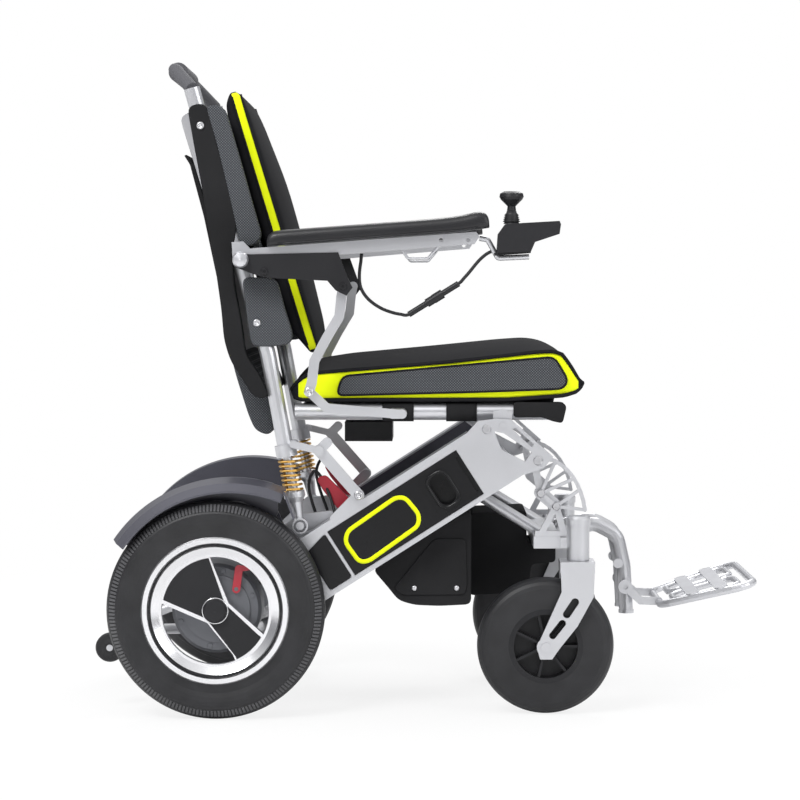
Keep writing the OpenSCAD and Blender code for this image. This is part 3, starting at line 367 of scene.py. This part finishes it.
def pipe(name, path, diameter, material, closed=False, sides=10):
    """A round tube along a path in metres."""
    rings = []
    side = None
    for i, p in enumerate(path):
        ahead = path[(i + 1) % len(path)] if closed or i + 1 < len(path) else p
        behind = path[i - 1] if closed or i else p
        along = (ahead - behind).normalized()
        if side is None:
            side = Vector((0, 1, 0)) if abs(along.y) < 0.9 else Vector((1, 0, 0))
        side = (side - along * side.dot(along)).normalized()
        up = along.cross(side)
        rings.append([p + (side * math.cos(a) + up * math.sin(a)) * diameter / 2
                      for a in (2 * math.pi * k / sides for k in range(sides))])
    return loft(name, rings, [material], closed)


def slab(name, outline, y0, y1, material, round_by=1.5):
    """A plate from y0 to y1 with rounded edges. Its outline is (x, z) points in millimetres."""
    n = len(outline)
    verts = [at(x, y, z) for y in (y0, y1) for x, z in outline]
    faces = [tuple(range(n)), tuple(range(2 * n - 1, n - 1, -1))]
    faces += [(i, (i + 1) % n, n + (i + 1) % n, n + i) for i in range(n)]
    piece = mesh_piece(name, verts, faces, [material], smooth=False)
    soften(piece, round_by)
    return piece


def soften(piece, round_by):
    bevel = piece.modifiers.new("edges", "BEVEL")
    bevel.width = round_by * MM
    bevel.segments = 3
    bevel.limit_method = "ANGLE"
    bevel.harden_normals = False
    for face in piece.data.polygons:
        face.use_smooth = False


def subdivide(piece):
    soft = piece.modifiers.new("soft", "SUBSURF")
    soft.levels = soft.render_levels = 1


def flat_band(name, path, width, height, s, material):
    """A closed ribbon of rectangular section on a plane of constant y."""
    rings = []
    for i, p in enumerate(path):
        along = (path[(i + 1) % len(path)] - path[i - 1]).normalized()
        out = along.cross(Vector((0, 1, 0))).normalized() * width / 2 * MM
        rise = Vector((0, s, 0)) * height / 2 * MM
        rings.append([p + out - rise, p + out + rise, p - out + rise, p - out - rise])
    return loft(name, rings, [material], closed=True)


def lathe(name, profile, place, axis, material, steps=40, closed=False):
    """Turns (radius, height) points about an axis. A closed profile makes a ring."""
    axis = Vector(axis).normalized()
    side = axis.orthogonal().normalized()
    up = axis.cross(side)
    angles = [2 * math.pi * k / steps for k in range(steps)]
    rings = [[Vector(place) + axis * h * MM
              + (side * math.cos(a) + up * math.sin(a)) * max(r, 0.01) * MM for a in angles]
             for r, h in profile]
    return loft(name, rings, [material], closed=closed)


def between(table, x):
    """Straight-line lookup in a list of (x, value)."""
    for (x0, v0), (x1, v1) in zip(table, table[1:]):
        if x <= x1:
            return v0 + (v1 - v0) * max(0, (x - x0)) / (x1 - x0)
    return table[-1][1]


def rounded(points, radius, steps=4):
    """A closed outline with its corners rounded by a quadratic blend."""
    path = []
    pts = [Vector(p) for p in points]
    for i, p in enumerate(pts):
        a, b = pts[i - 1] - p, pts[(i + 1) % len(pts)] - p
        start = p + a.normalized() * min(radius, a.length * 0.45)
        end = p + b.normalized() * min(radius, b.length * 0.45)
        for k in range(steps + 1):
            t = k / steps
            path.append((1 - t) ** 2 * start + 2 * t * (1 - t) * p + t * t * end)
    return [tuple(p) for p in path]


# ---- places on the chair, taken from the CAD ----
BOX_FOOT = (-154.8, 171.3)
BOX_SLOPE = math.radians(32.5)
BACK_BEND = (-239.2, 541.5)
BACK_TOP = (-352, 938)
LEAN = math.atan2(BACK_BEND[0] - BACK_TOP[0], BACK_TOP[1] - BACK_BEND[1])
ARM_PIVOT = (-276, 682)
RAIL_RISE = math.radians(4.2)


def on_box(s, n):
    """A point s along the slanted battery frame and n above its lower edge."""
    return (BOX_FOOT[0] + s * math.cos(BOX_SLOPE) - n * math.sin(BOX_SLOPE),
            BOX_FOOT[1] + s * math.sin(BOX_SLOPE) + n * math.cos(BOX_SLOPE))


def on_back(t, forward):
    """A point at t from the back's bend (0) to its top (1), and so far in front of its tubes."""
    return (BACK_BEND[0] + (BACK_TOP[0] - BACK_BEND[0]) * t + forward * math.cos(LEAN),
            BACK_BEND[1] + (BACK_TOP[1] - BACK_BEND[1]) * t + forward * math.sin(LEAN))


def on_rail(along, up):
    """A point on the arm rail's line, seen from its pivot."""
    return (ARM_PIVOT[0] + along * math.cos(RAIL_RISE) - up * math.sin(RAIL_RISE),
            ARM_PIVOT[1] + along * math.sin(RAIL_RISE) + up * math.cos(RAIL_RISE))


# ---- cord ----
CORD_Y = -261
CORD_REAR = [(-98, 691.5), (-99, 680), (-101, 665), (-101, 650), (-98, 638), (-90, 626),
             (-79, 616.5), (-66, 609), (-52, 604), (-40, 601.5), (-28, 601)]
CORD_IN_PLUG = [(-5, 615), (20, 631)]
CORD_FRONT = [(46, 647), (54, 655), (62, 664), (70, 674), (78, 683), (87, 690.5), (95, 694.5),
              (101.5, 695)]


def make_cord(paint):
    """One lead from the arm rail to the controller, with an in-line plug."""
    points = [at(x, CORD_Y, z) for x, z in CORD_REAR + CORD_IN_PLUG + CORD_FRONT]
    path = smooth_path(points, 4)
    lead = pipe("controller_lead", path, 5 * MM, paint["plastic"], sides=12)
    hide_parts("controller_cord")
    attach(lead, "arm_right")


# ---- seat cushion ----
PIPING_D = 3.4
SEAT_HALF_W = 212
SEAT_LIME_FROM, SEAT_LIME_TO = -198, 224  # the lime strip's ends along the cushion
SEAT_INSET = [(-137, 479), (-128, 508), (190, 537), (211, 502), (203, 489), (60, 484)]
SEAT_LOW = [(-205, 486), (-200, 474), (-190, 470.5), (120, 471), (205, 477), (222, 482),
            (230, 488), (234, 496)]
SEAT_RIM = [(-205, 488), (-201, 495), (-190, 505), (-176, 513), (32, 530), (165, 545), (190, 546),
            (203, 541), (216, 522), (228, 502), (234, 498)]
SEAT_CROWN = [(-205, 489), (-200, 503), (-188, 517), (-170, 529), (-120, 537), (0, 548),
              (110, 559), (155, 562), (180, 557), (200, 546), (216, 526), (228, 505), (234, 499)]
SEAT_WIDE = [(-205, -16), (-200, -9), (-190, -3), (-175, 0), (190, 0), (212, -3), (226, -9),
             (234, -16)]
SEAT_STATIONS = ([-205, -203, -200, -195, -188, -180, -170, -160] + list(range(-145, 166, 14))
                 + [176, 186, 194, 202, 209, 216, 222, 227, 231, 234])


def seat_ring(x):
    w = SEAT_HALF_W + between(SEAT_WIDE, x)
    low, rim, crown = between(SEAT_LOW, x), between(SEAT_RIM, x), between(SEAT_CROWN, x)
    crown = max(crown, rim)
    tall = rim - low
    side = [(w - 14, low), (w - 4, low + 0.04 * tall), (w - 0.5, low + 0.16 * tall),
            (w + 1.5, low + 0.5 * tall), (w, low + 0.84 * tall), (w - 3, rim - 0.02 * tall),
            (w - 8, rim + 0.5)]
    top = []
    for k in range(1, 20):
        u = 1 - 2 * k / 20
        pucker = 0.7 * math.sin(x * 0.19) * math.exp(-((abs(u) - 0.88) / 0.09) ** 2)
        channel = -1.6 * math.exp(-((abs(u) - 0.62) / 0.018) ** 2)
        top.append(((w - 8) * u, rim + (crown - rim) * (1 - abs(u) ** 3.4) + pucker + channel))
    ring = side + top + [(-y, z) for y, z in reversed(side)]
    return [at(x, y, z) for y, z in ring]


def make_seat_cushion(paint):
    rings = [seat_ring(x) for x in SEAT_STATIONS]
    last = len(rings[0])
    lime = {1, 2, 3, 4, last - 6, last - 5, last - 4, last - 3}

    def paint_face(j, i):
        return 1 if i in lime and SEAT_LIME_FROM < SEAT_STATIONS[j] < SEAT_LIME_TO else 0

    cushion = loft("seat_cushion_body", rings, [paint["quilt"], paint["lime"]], paint=paint_face)
    subdivide(cushion)
    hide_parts("seat_cushion")
    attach(cushion, "seat")
    inset = rounded(SEAT_INSET, 11)
    for name, s in SIDES.items():
        near, far = sorted((s * (SEAT_HALF_W - 6), s * (SEAT_HALF_W + 3.2)))
        panel = slab("seat_mesh_inset_" + name, inset, near, far, paint["mesh"], 2.2)
        edge = [at(x, s * (SEAT_HALF_W + 2.4), z) for x, z in inset]
        piping = pipe("seat_inset_piping_" + name, edge, PIPING_D * MM, paint["quilt"],
                      closed=True, sides=8)
        seam = [(x, SEAT_HALF_W + between(SEAT_WIDE, x) - 1.5, between(SEAT_RIM, x) - 0.6)
                for x in SEAT_STATIONS]
        seam += [(x, SEAT_HALF_W + between(SEAT_WIDE, x) - 2.5, between(SEAT_LOW, x) + 1.5)
                 for x in reversed(SEAT_STATIONS)]
        path = [at(x, s * y, z) for x, y, z in seam]
        welt = pipe("seat_welt_" + name, path, 6 * MM, paint["quilt"], closed=True, sides=8)
        for piece in (panel, piping, welt):
            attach(piece, "seat")


# ---- back cushion ----
BACK_HALF_W = 186
BACK_STATIONS = [-0.045, -0.03, -0.01, 0.02, 0.06, 0.11, 0.17, 0.24, 0.32, 0.4, 0.48, 0.56, 0.64,
                 0.72, 0.79, 0.85, 0.89, 0.92, 0.94, 0.955, 0.965]
BACK_REAR = [(-0.045, 60), (-0.02, 55), (0.03, 44), (0.09, 36), (0.88, 35), (0.93, 38), (0.965, 52)]
BACK_EDGE = [(-0.045, 66), (-0.02, 73), (0.04, 76), (0.5, 74), (0.88, 70), (0.94, 66), (0.965, 56)]
BACK_CROWN = [(-0.045, 67), (-0.02, 76), (0.05, 82), (0.25, 86), (0.6, 87), (0.85, 76),
              (0.92, 70), (0.965, 57)]
BACK_WIDE = [(-0.045, -24), (-0.03, -15), (0, -7), (0.05, -1), (0.1, 0), (0.86, 0), (0.92, -6),
             (0.955, -16), (0.965, -26)]


def lime_band(t):
    """Forward edges of the lime strip on the back cushion's side."""
    middle = 65 - 7 * t
    return middle - 7, middle + 7


def back_ring(t):
    w = BACK_HALF_W + between(BACK_WIDE, t)
    rear, edge, crown = between(BACK_REAR, t), between(BACK_EDGE, t), between(BACK_CROWN, t)
    a, b = lime_band(t)
    a, b = min(max(a, rear + 1), edge - 2), min(max(b, rear + 2), edge - 0.5)
    side = [(w - 14, rear), (w - 3, rear + 0.2 * (a - rear)), (w, (rear + a) / 2), (w + 1, a),
            (w + 1.4, (a + b) / 2), (w + 1, b), (w - 2.5, edge - 0.3)]
    top = []
    for k in range(1, 18):
        u = 1 - 2 * k / 18
        channel = -1.8 * math.exp(-((abs(u) - 0.6) / 0.022) ** 2) * (0.03 < t < 0.9)
        top.append(((w - 6) * u, edge + max(0, crown - edge) * (1 - abs(u) ** 3) + channel))
    ring = side + top + [(-y, f) for y, f in reversed(side)]
    return [at(on_back(t, f)[0], y, on_back(t, f)[1]) for y, f in ring]


def make_back_cushion(paint):
    rings = [back_ring(t) for t in BACK_STATIONS]
    last = len(rings[0])
    lime = {3, 4, last - 5, last - 6}
    cushion = loft("back_cushion_body", rings, [paint["quilt"], paint["lime"]],
                   paint=lambda j, i: 1 if i in lime and 1 <= j < len(BACK_STATIONS) - 2 else 0)
    subdivide(cushion)
    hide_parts("back_cushion")
    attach(cushion, "back")
    for name, s in SIDES.items():
        for k in (0, 1):
            path = []
            for t in BACK_STATIONS[2:-2]:
                x, z = on_back(t, lime_band(t)[k])
                path.append(at(x, s * (BACK_HALF_W + between(BACK_WIDE, t) + 1), z))
            welt = pipe(f"back_welt_{name}_{k}", path, PIPING_D * MM, paint["quilt"], sides=8)
            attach(welt, "back")


# ---- back sling, its sleeves and pocket ----
SLEEVE_REAR = [(-358, 911), (-349, 858), (-339, 804), (-327, 735), (-316, 667), (-308, 610),
               (-304, 563), (-295, 533), (-277, 504), (-259, 476)]
SLEEVE_FRONT = [(-236, 476), (-250, 508), (-272, 541), (-279, 594), (-288, 640), (-292, 690),
                (-284, 732), (-297, 789), (-314, 855), (-330, 916)]
MESH_UPPER = [(-331, 913), (-314, 855), (-298, 789), (-286, 735), (-280, 706), (-262, 702),
              (-247, 716), (-262, 768), (-281, 836), (-303, 911)]
POCKET = [(-318, 640), (-341, 749), (-362, 828), (-371, 842), (-366, 843), (-355, 826),
          (-334, 749), (-312, 640)]
HEM = [(-301, 548), (-290, 505), (-272, 448), (-262, 425), (-244, 417), (-233, 424), (-240, 470),
       (-262, 512), (-282, 548)]
PANEL_STATIONS = [(-0.1, -42, 5), (0, -38, 5), (0.3, -30, 6), (0.52, -25, 8), (0.83, -20, 18),
                  (0.9, -18, 21), (0.94, -16, 22)]
FRONT_STATIONS = [(0.03, 30, -2), (0.3, 30, -2), (0.6, 30, -2), (0.92, 30, -2)]
MESH_LOWER = [(-277, 657), (-226, 655), (-214, 610), (-201, 570), (-206, 556), (-232, 553),
              (-263, 553), (-270, 600)]


def sling_sheet(name, stations, half_w, material):
    """Fabric between the sleeves. A station is (t, forward at its edge, belly to the rear)."""
    thick = Vector((2.5 * math.cos(LEAN), 0, 2.5 * math.sin(LEAN))) * MM
    rings = []
    for t, f, sag in stations:
        outer = []
        for k in range(25):
            u = 1 - 2 * k / 24
            x, z = on_back(t, f - sag * (1 - u ** 4))
            outer.append(at(x, half_w * u, z))
        inner = [p + thick for p in reversed(outer)]
        rings.append(outer + inner)
    piece = loft(name, rings, [material])
    subdivide(piece)
    return piece


def make_back_sling(paint):
    made = []
    for name, s in SIDES.items():
        def leaf(part, outline, inner, outer, material, r):
            low, high = sorted((s * inner, s * outer))
            return slab(f"back_{part}_{name}", rounded(outline, 12, 3), low, high, material, r)
        sleeve = leaf("sleeve", SLEEVE_REAR + SLEEVE_FRONT, 214, 243, paint["nylon"], 5)
        upper = leaf("mesh_upper", MESH_UPPER, 213, 243.4, paint["mesh"], 9)
        lower = leaf("mesh_lower", MESH_LOWER, 212, 243.4, paint["mesh"], 11)
        made += [sleeve, upper, lower]
    panel = sling_sheet("back_panel", PANEL_STATIONS, 215, paint["panel"])
    front = sling_sheet("back_front_mesh", FRONT_STATIONS, 214, paint["mesh"])
    pocket = slab("back_pocket", rounded(POCKET, 3), -150, 150, paint["nylon"], 1.6)
    hem = slab("back_hem", rounded(HEM, 10), -178, 178, paint["mesh"], 9)
    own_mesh(hem)
    made.append(hem)
    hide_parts("back_sling")
    for piece in made + [panel, front, pocket]:
        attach(piece, "back")


# ---- arm pads ----
PAD_Y = 269
PAD_START, PAD_LEN, PAD_HALF_W = 40, 330, 23
PAD_NOSE = 290  # from here to the front the pad's underside rises
PAD_SECTION = [(0.62, 0), (0.94, 0.05), (1.0, 0.22), (1.0, 0.52), (0.95, 0.78), (0.8, 0.94),
               (0.5, 1.0), (0.2, 1.02)]
PAD_STATIONS = [0, 1.5, 4, 9, 18, 40, 80, 120, 160, 200, 240, 270, 290, 302, 312, 320, 326, 329,
                330]


def pad_point(a, up, y):
    x, z = on_rail(PAD_START + a, up)
    return at(x, y, z)


def pad_lift(a):
    return max(0, a - PAD_NOSE) * 0.1


def round_end(distance, radius):
    """From 0 at a rounded end to 1 one radius away from it."""
    return math.sqrt(1 - (1 - min(1, distance / radius)) ** 2)


def pad_ring(a, s):
    end = round_end(a, 14) * round_end(PAD_LEN - a, 16)
    low = 16.2 + pad_lift(a)
    rise = max(0, a - 262) * 0.07
    tall = 6 + 17 * end + rise
    w = PAD_HALF_W - 5 * (1 - end)
    ring = [(w * u, low + tall * h) for u, h in PAD_SECTION]
    ring += [(-y, up) for y, up in reversed(ring)]
    return [pad_point(a, up, s * PAD_Y + y) for y, up in ring]


def make_arm_pads(paint):
    for name, s in SIDES.items():
        rings = [pad_ring(a, s) for a in PAD_STATIONS]
        pad = loft("arm_pad_cover_" + name, rings, [paint["leather"]])
        subdivide(pad)
        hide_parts("arm_pad_" + name)
        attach(pad, "arm_" + name)
        straight = PAD_STATIONS[4:-4]
        seam = [pad_point(a, 19.5 + pad_lift(a), s * PAD_Y + s * side * PAD_HALF_W)
                for side, stations in ((1, straight), (-1, straight[::-1])) for a in stations]
        welt = pipe("arm_pad_welt_" + name, seam, 2.4 * MM, paint["leather"], closed=True, sides=6)
        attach(welt, "arm_" + name)


# ---- storage bag ----
BAG_SIDE = [on_box(84, -2), (-60, 188), (-44, 168), (-20, 161), (18, 159.5), (66, 162), (66, 305),
            on_box(200, -2)]
BAG_FLAP = [(-52, 186), (-38, 176), (56, 177), (60, 190), (58, 262), (10, 262)]
BAG_NOSE = [(66, 162), (146, 166), (158, 182), (162, 211), (199, 214), (199, 243), (154, 243),
            (154, 294), (66, 290)]


def make_bag(paint):
    body = slab("bag_body", rounded(BAG_SIDE, 9, 3), -198, 198, paint["nylon"], 7)
    nose = slab("bag_nose", rounded(BAG_NOSE, 6, 3), -75, 75, paint["nylon"], 5)
    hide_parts("storage_bag")
    for piece in (body, nose):
        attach(piece, "chassis")
    for name, s in SIDES.items():
        flap_low, flap_high = sorted((s * 197.5, s * 200.5))
        flap = slab("bag_flap_" + name, rounded(BAG_FLAP, 8, 3), flap_low, flap_high,
                    paint["nylon"], 1.2)
        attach(flap, "chassis")
        for x in (-20, 44):
            stud = lathe(f"bag_stud_{name}_{x}", [(0, 0), (4, 0), (4, 0.8), (2.6, 1.8), (0, 2.1)],
                         at(x, s * 200.3, 187), (0, s, 0), paint["zinc"], 20)
            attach(stud, "chassis")


# ---- seat sling, straps and wraps ----
SLING_FROM, SLING_TO, SLING_HALF_W = -196, 196, 198
SLING_TOP, SLING_SAG, SLING_THICK = 469.3, 9, 2.2
RAIL_WRAPS = ((-68, -21), (28, 74))
RAIL_END_WRAP = [(129, 469), (204, 468.5), (209, 462), (203, 437), (188, 440), (172, 446),
                 (129, 446)]


def make_seat_sling(paint):
    rings = []
    for k in range(15):
        x = SLING_FROM + (SLING_TO - SLING_FROM) * k / 14
        free = 1 - (2 * k / 14 - 1) ** 4
        outer = []
        for i in range(21):
            u = 1 - 2 * i / 20
            outer.append((SLING_HALF_W * u, SLING_TOP - SLING_SAG * (1 - u * u) * free))
        rings.append([at(x, y, z) for y, z in outer]
                     + [at(x, y, z - SLING_THICK) for y, z in reversed(outer)])
    sling = loft("seat_sling_sheet", rings, [paint["nylon"]])
    subdivide(sling)
    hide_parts("seat_sling")
    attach(sling, "seat")
    for name, s in SIDES.items():
        for k, (a, b) in enumerate(RAIL_WRAPS):
            path = [at(a + (b - a) * t / 6, s * 198, 454) for t in range(7)]
            wrap = pipe(f"rail_wrap_{name}_{k}", path, 29.5 * MM, paint["nylon"], sides=28)
            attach(wrap, "seat")
        low, high = sorted((s * 186, s * 213))
        end = slab("rail_end_wrap_" + name, rounded(RAIL_END_WRAP, 5, 3), low, high,
                   paint["nylon"], 5)
        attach(end, "seat")


# ---- battery trim ----
END_COVER = [(16, 8), (55, 8), (55, 85), (16, 75)]
BEZEL = [(223, 19), (257, 19), (257, 73), (223, 73)]
RING = [(76, 22), (88, 15), (180, 20), (190, 34), (186, 66), (174, 74), (86, 70), (74, 58)]


def make_battery_trim(paint):
    """A plain lime ring and a moulded bezel on each battery, and a cover at the frame's foot."""
    outline = rounded([on_box(a, b) for a, b in RING], 8)
    grip = rounded([on_box(a, b) for a, b in BEZEL], 14, 5)
    shield = rounded([on_box(a, b) for a, b in END_COVER], 5, 3)
    for name, s in SIDES.items():
        path = [at(x, s * 237.8, z) for x, z in outline]
        band = flat_band("battery_ring_" + name, path, 6.5, 0.9, s, paint["lime"])
        path = [at(x, s * 238.0, z) for x, z in grip]
        bezel = flat_band("battery_bezel_" + name, path, 4, 2.2, s, paint["gloss"])
        for piece in (band, bezel):
            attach(piece, "battery_" + name)
        low, high = sorted((s * 235, s * 239))
        cover = slab("end_cover_" + name, shield, low, high, paint["gloss"], 1.2)
        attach(cover, "chassis")


# ---- cables and small parts ----
# name: body, diameter, (x, y, z) route
CABLES = {
    "cable_frame": ("chassis", 5,
                    [(-140, -176, 296), (-150, -160, 326), (-162, -146, 350), (-174, -143, 360),
                     (-182, -143, 340), (-176, -145, 310), (-160, -148, 262), (-150, -150, 200)]),
    "cable_motor": ("carrier", 5,
                    [(-196, -150, 262), (-212, -154, 232), (-236, -158, 206), (-262, -166, 186),
                     (-280, -176, 176)]),
}


def make_cables(paint):
    for name, (body, diameter, route) in CABLES.items():
        for side, s in SIDES.items():
            path = smooth_path([at(x, -s * y, z) for x, y, z in route], 5)
            cable = pipe(f"{name}_{side}", path, diameter * MM, paint["plastic"], sides=8)
            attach(cable, body)


RELEASE_TAB = [(-170, 350), (-156, 356), (-118, 318), (-120, 300), (-136, 302), (-160, 332)]


def make_release_tabs(paint):
    """Red pull tabs beside the fold links."""
    outline = rounded(RELEASE_TAB, 6, 3)
    for name, s in SIDES.items():
        low, high = sorted((s * 150, s * 157))
        tab = slab("release_tab_" + name, outline, low, high, paint["red"], 2)
        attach(tab, "chassis")


# ---- rear wheels ----
AXLE = (-314.7, 162.5)
WHEEL_Y = 270
LUGS = 180
LUG_HALF = 0.3  # half a lug's width, as a share of the space for one
# sections are (distance from the axle, distance outward from the wheel's middle)
LUG_SECTION = [(146, 24.6), (149.5, 25), (158, 16.8), (157, 14.5), (148, 22.5), (146, 22.5)]
# painted shade: a dark ring laid in the floor of the rim's groove
RIM_GROOVE_SHADE = [(96.2, 20.9), (99.8, 20.9), (99.8, 22.4), (96.2, 22.4)]
HUB_RING = [(17.8, 18), (19.6, 18), (19.6, 20), (17.8, 20)]


def make_wheel_details(paint):
    """Shoulder lugs on the tyres in painted highlight, painted shade in each rim's groove, a bright
    ring round each hub cap.
    """
    n = len(LUG_SECTION)
    for name, s in SIDES.items():
        body = "rear_wheel_" + name
        verts, faces = [], []
        for k in range(LUGS):
            for turn in (-LUG_HALF, LUG_HALF):
                angle = 2 * math.pi * (k + turn) / LUGS
                for radius, y in LUG_SECTION:
                    verts.append(at(AXLE[0] + radius * math.cos(angle), s * (WHEEL_Y + y),
                                    AXLE[1] + radius * math.sin(angle)))
            base = k * 2 * n
            faces += [[base + i, base + (i + 1) % n, base + n + (i + 1) % n, base + n + i]
                      for i in range(n)]
            faces += [list(range(base + n - 1, base - 1, -1)), list(range(base + n, base + 2 * n))]
        # the lugs take the lighter rubber, a painted highlight
        lugs = mesh_piece("tread_lugs_" + name, verts, faces, [paint["tread"]], smooth=False)
        middle = at(AXLE[0], s * WHEEL_Y, AXLE[1])
        # painted shade: black plastic in the polished rim's groove
        groove = lathe("rim_groove_shade_" + name, RIM_GROOVE_SHADE, middle, (0, s, 0), paint["plastic"], 96,
                       closed=True)
        ring = lathe("hub_ring_" + name, HUB_RING, middle, (0, s, 0), paint["polished"], 64,
                     closed=True)
        for piece, slot in ((lugs, "rubber"), (groove, "black_plastic"), (ring, "polished_rim")):
            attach(piece, body)


# ---- controller and bolts ----
BOOT = [(12.5, 48), (13, 49), (10.5, 50.5), (12.5, 52), (9.8, 53.5), (11.8, 55), (9.3, 56.5),
        (11, 58), (8, 61), (6.5, 66)]
CONTROLLER = (124, -268, 690)
BRACKET_X, BRACKET_Z = 0.0978, 0.6879  # faces behind or below these are the metal bracket's


def make_controller_details(paint):
    """A pleated rubber boot round the joystick, and bare metal on the controller's bracket."""
    boot = lathe("joystick_boot", BOOT, at(*CONTROLLER), (0, 0, 1), paint["tyre"], 48)
    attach(boot, "stick")
    node = NODES["controller"]
    node.data.materials.append(paint["silver"])
    for face in node.data.polygons:
        if face.center.x < BRACKET_X or face.center.z < BRACKET_Z:
            face.material_index = len(node.data.materials) - 1


def bolt_head(name, place, axis, radius, body, paint):
    profile = [(0, 0), (radius, 0), (radius, 1.2), (radius - 1.4, 3), (radius * 0.5, 3.2),
               (radius * 0.5, 1.6), (0, 1.6)]
    head = lathe(name, profile, place, axis, paint["zinc"], 24)
    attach(head, body)


def make_bolts(paint):
    for name, s in SIDES.items():
        bolt_head("bolt_link_foot_" + name, at(-103, s * 247.6, 331), (0, s, 0), 7, "chassis",
                  paint)
        bolt_head("bolt_strut_foot_" + name, at(-176, s * 267.2, 486), (0, s, 0), 7.5, "seat",
                  paint)
        for k in range(2):
            x, z = on_back(0.12 + 0.74 * k, -2)
            bolt_head(f"bolt_back_{name}_{k}", at(x, s * 243.2, z), (0, s, 0), 6, "back",
                      paint)


# ---- finishes of the CAD nodes, by the start of their names ----
FINISHES = {
    "silver": ["side_frame", "cross_tubes", "front_plates", "front_brackets", "caster_heads",
               "footrest_hangers", "axle_carrier", "anti_tip_arms", "caster_fork", "footplate",
               "seat_frame", "back_frame", "shock_rods", "fold_link", "arm_strut", "arm_rail"],
    "slate": ["inner_covers", "fender"],
    "plastic": ["rim_panel", "control_box", "controller", "joystick", "cord_connector",
                "arm_bracket", "caster_hub"],
    "gloss": ["battery"],
    "tyre": ["rear_tyre", "caster_tyre", "anti_tip_wheel"],
    "polished": ["rear_rim"],
    "cast": ["motor"],
    "red": ["clutch_lever"],
    "gold": ["shock_springs"],
    "zinc": ["frame_bolts"],
    "foam": ["push_handle"],
}


def paint_nodes(paint):
    for look, starts in FINISHES.items():
        for name, node in NODES.items():
            if any(name.startswith(start) for start in starts):
                if not node.material_slots:
                    node.data.materials.append(paint[look])
                for place in node.material_slots:
                    place.material = paint[look]


def squash_springs():
    """Gives the springs a mesh of their own."""
    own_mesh(NODES["shock_springs"])


make_camera()
make_studio()
PAINT = make_materials()
make_cord(PAINT)
paint_nodes(PAINT)
make_seat_cushion(PAINT)
make_back_cushion(PAINT)
make_back_sling(PAINT)
make_arm_pads(PAINT)
make_seat_sling(PAINT)
make_bag(PAINT)
make_battery_trim(PAINT)
make_cables(PAINT)
make_release_tabs(PAINT)
make_controller_details(PAINT)
make_wheel_details(PAINT)
make_bolts(PAINT)
squash_springs()
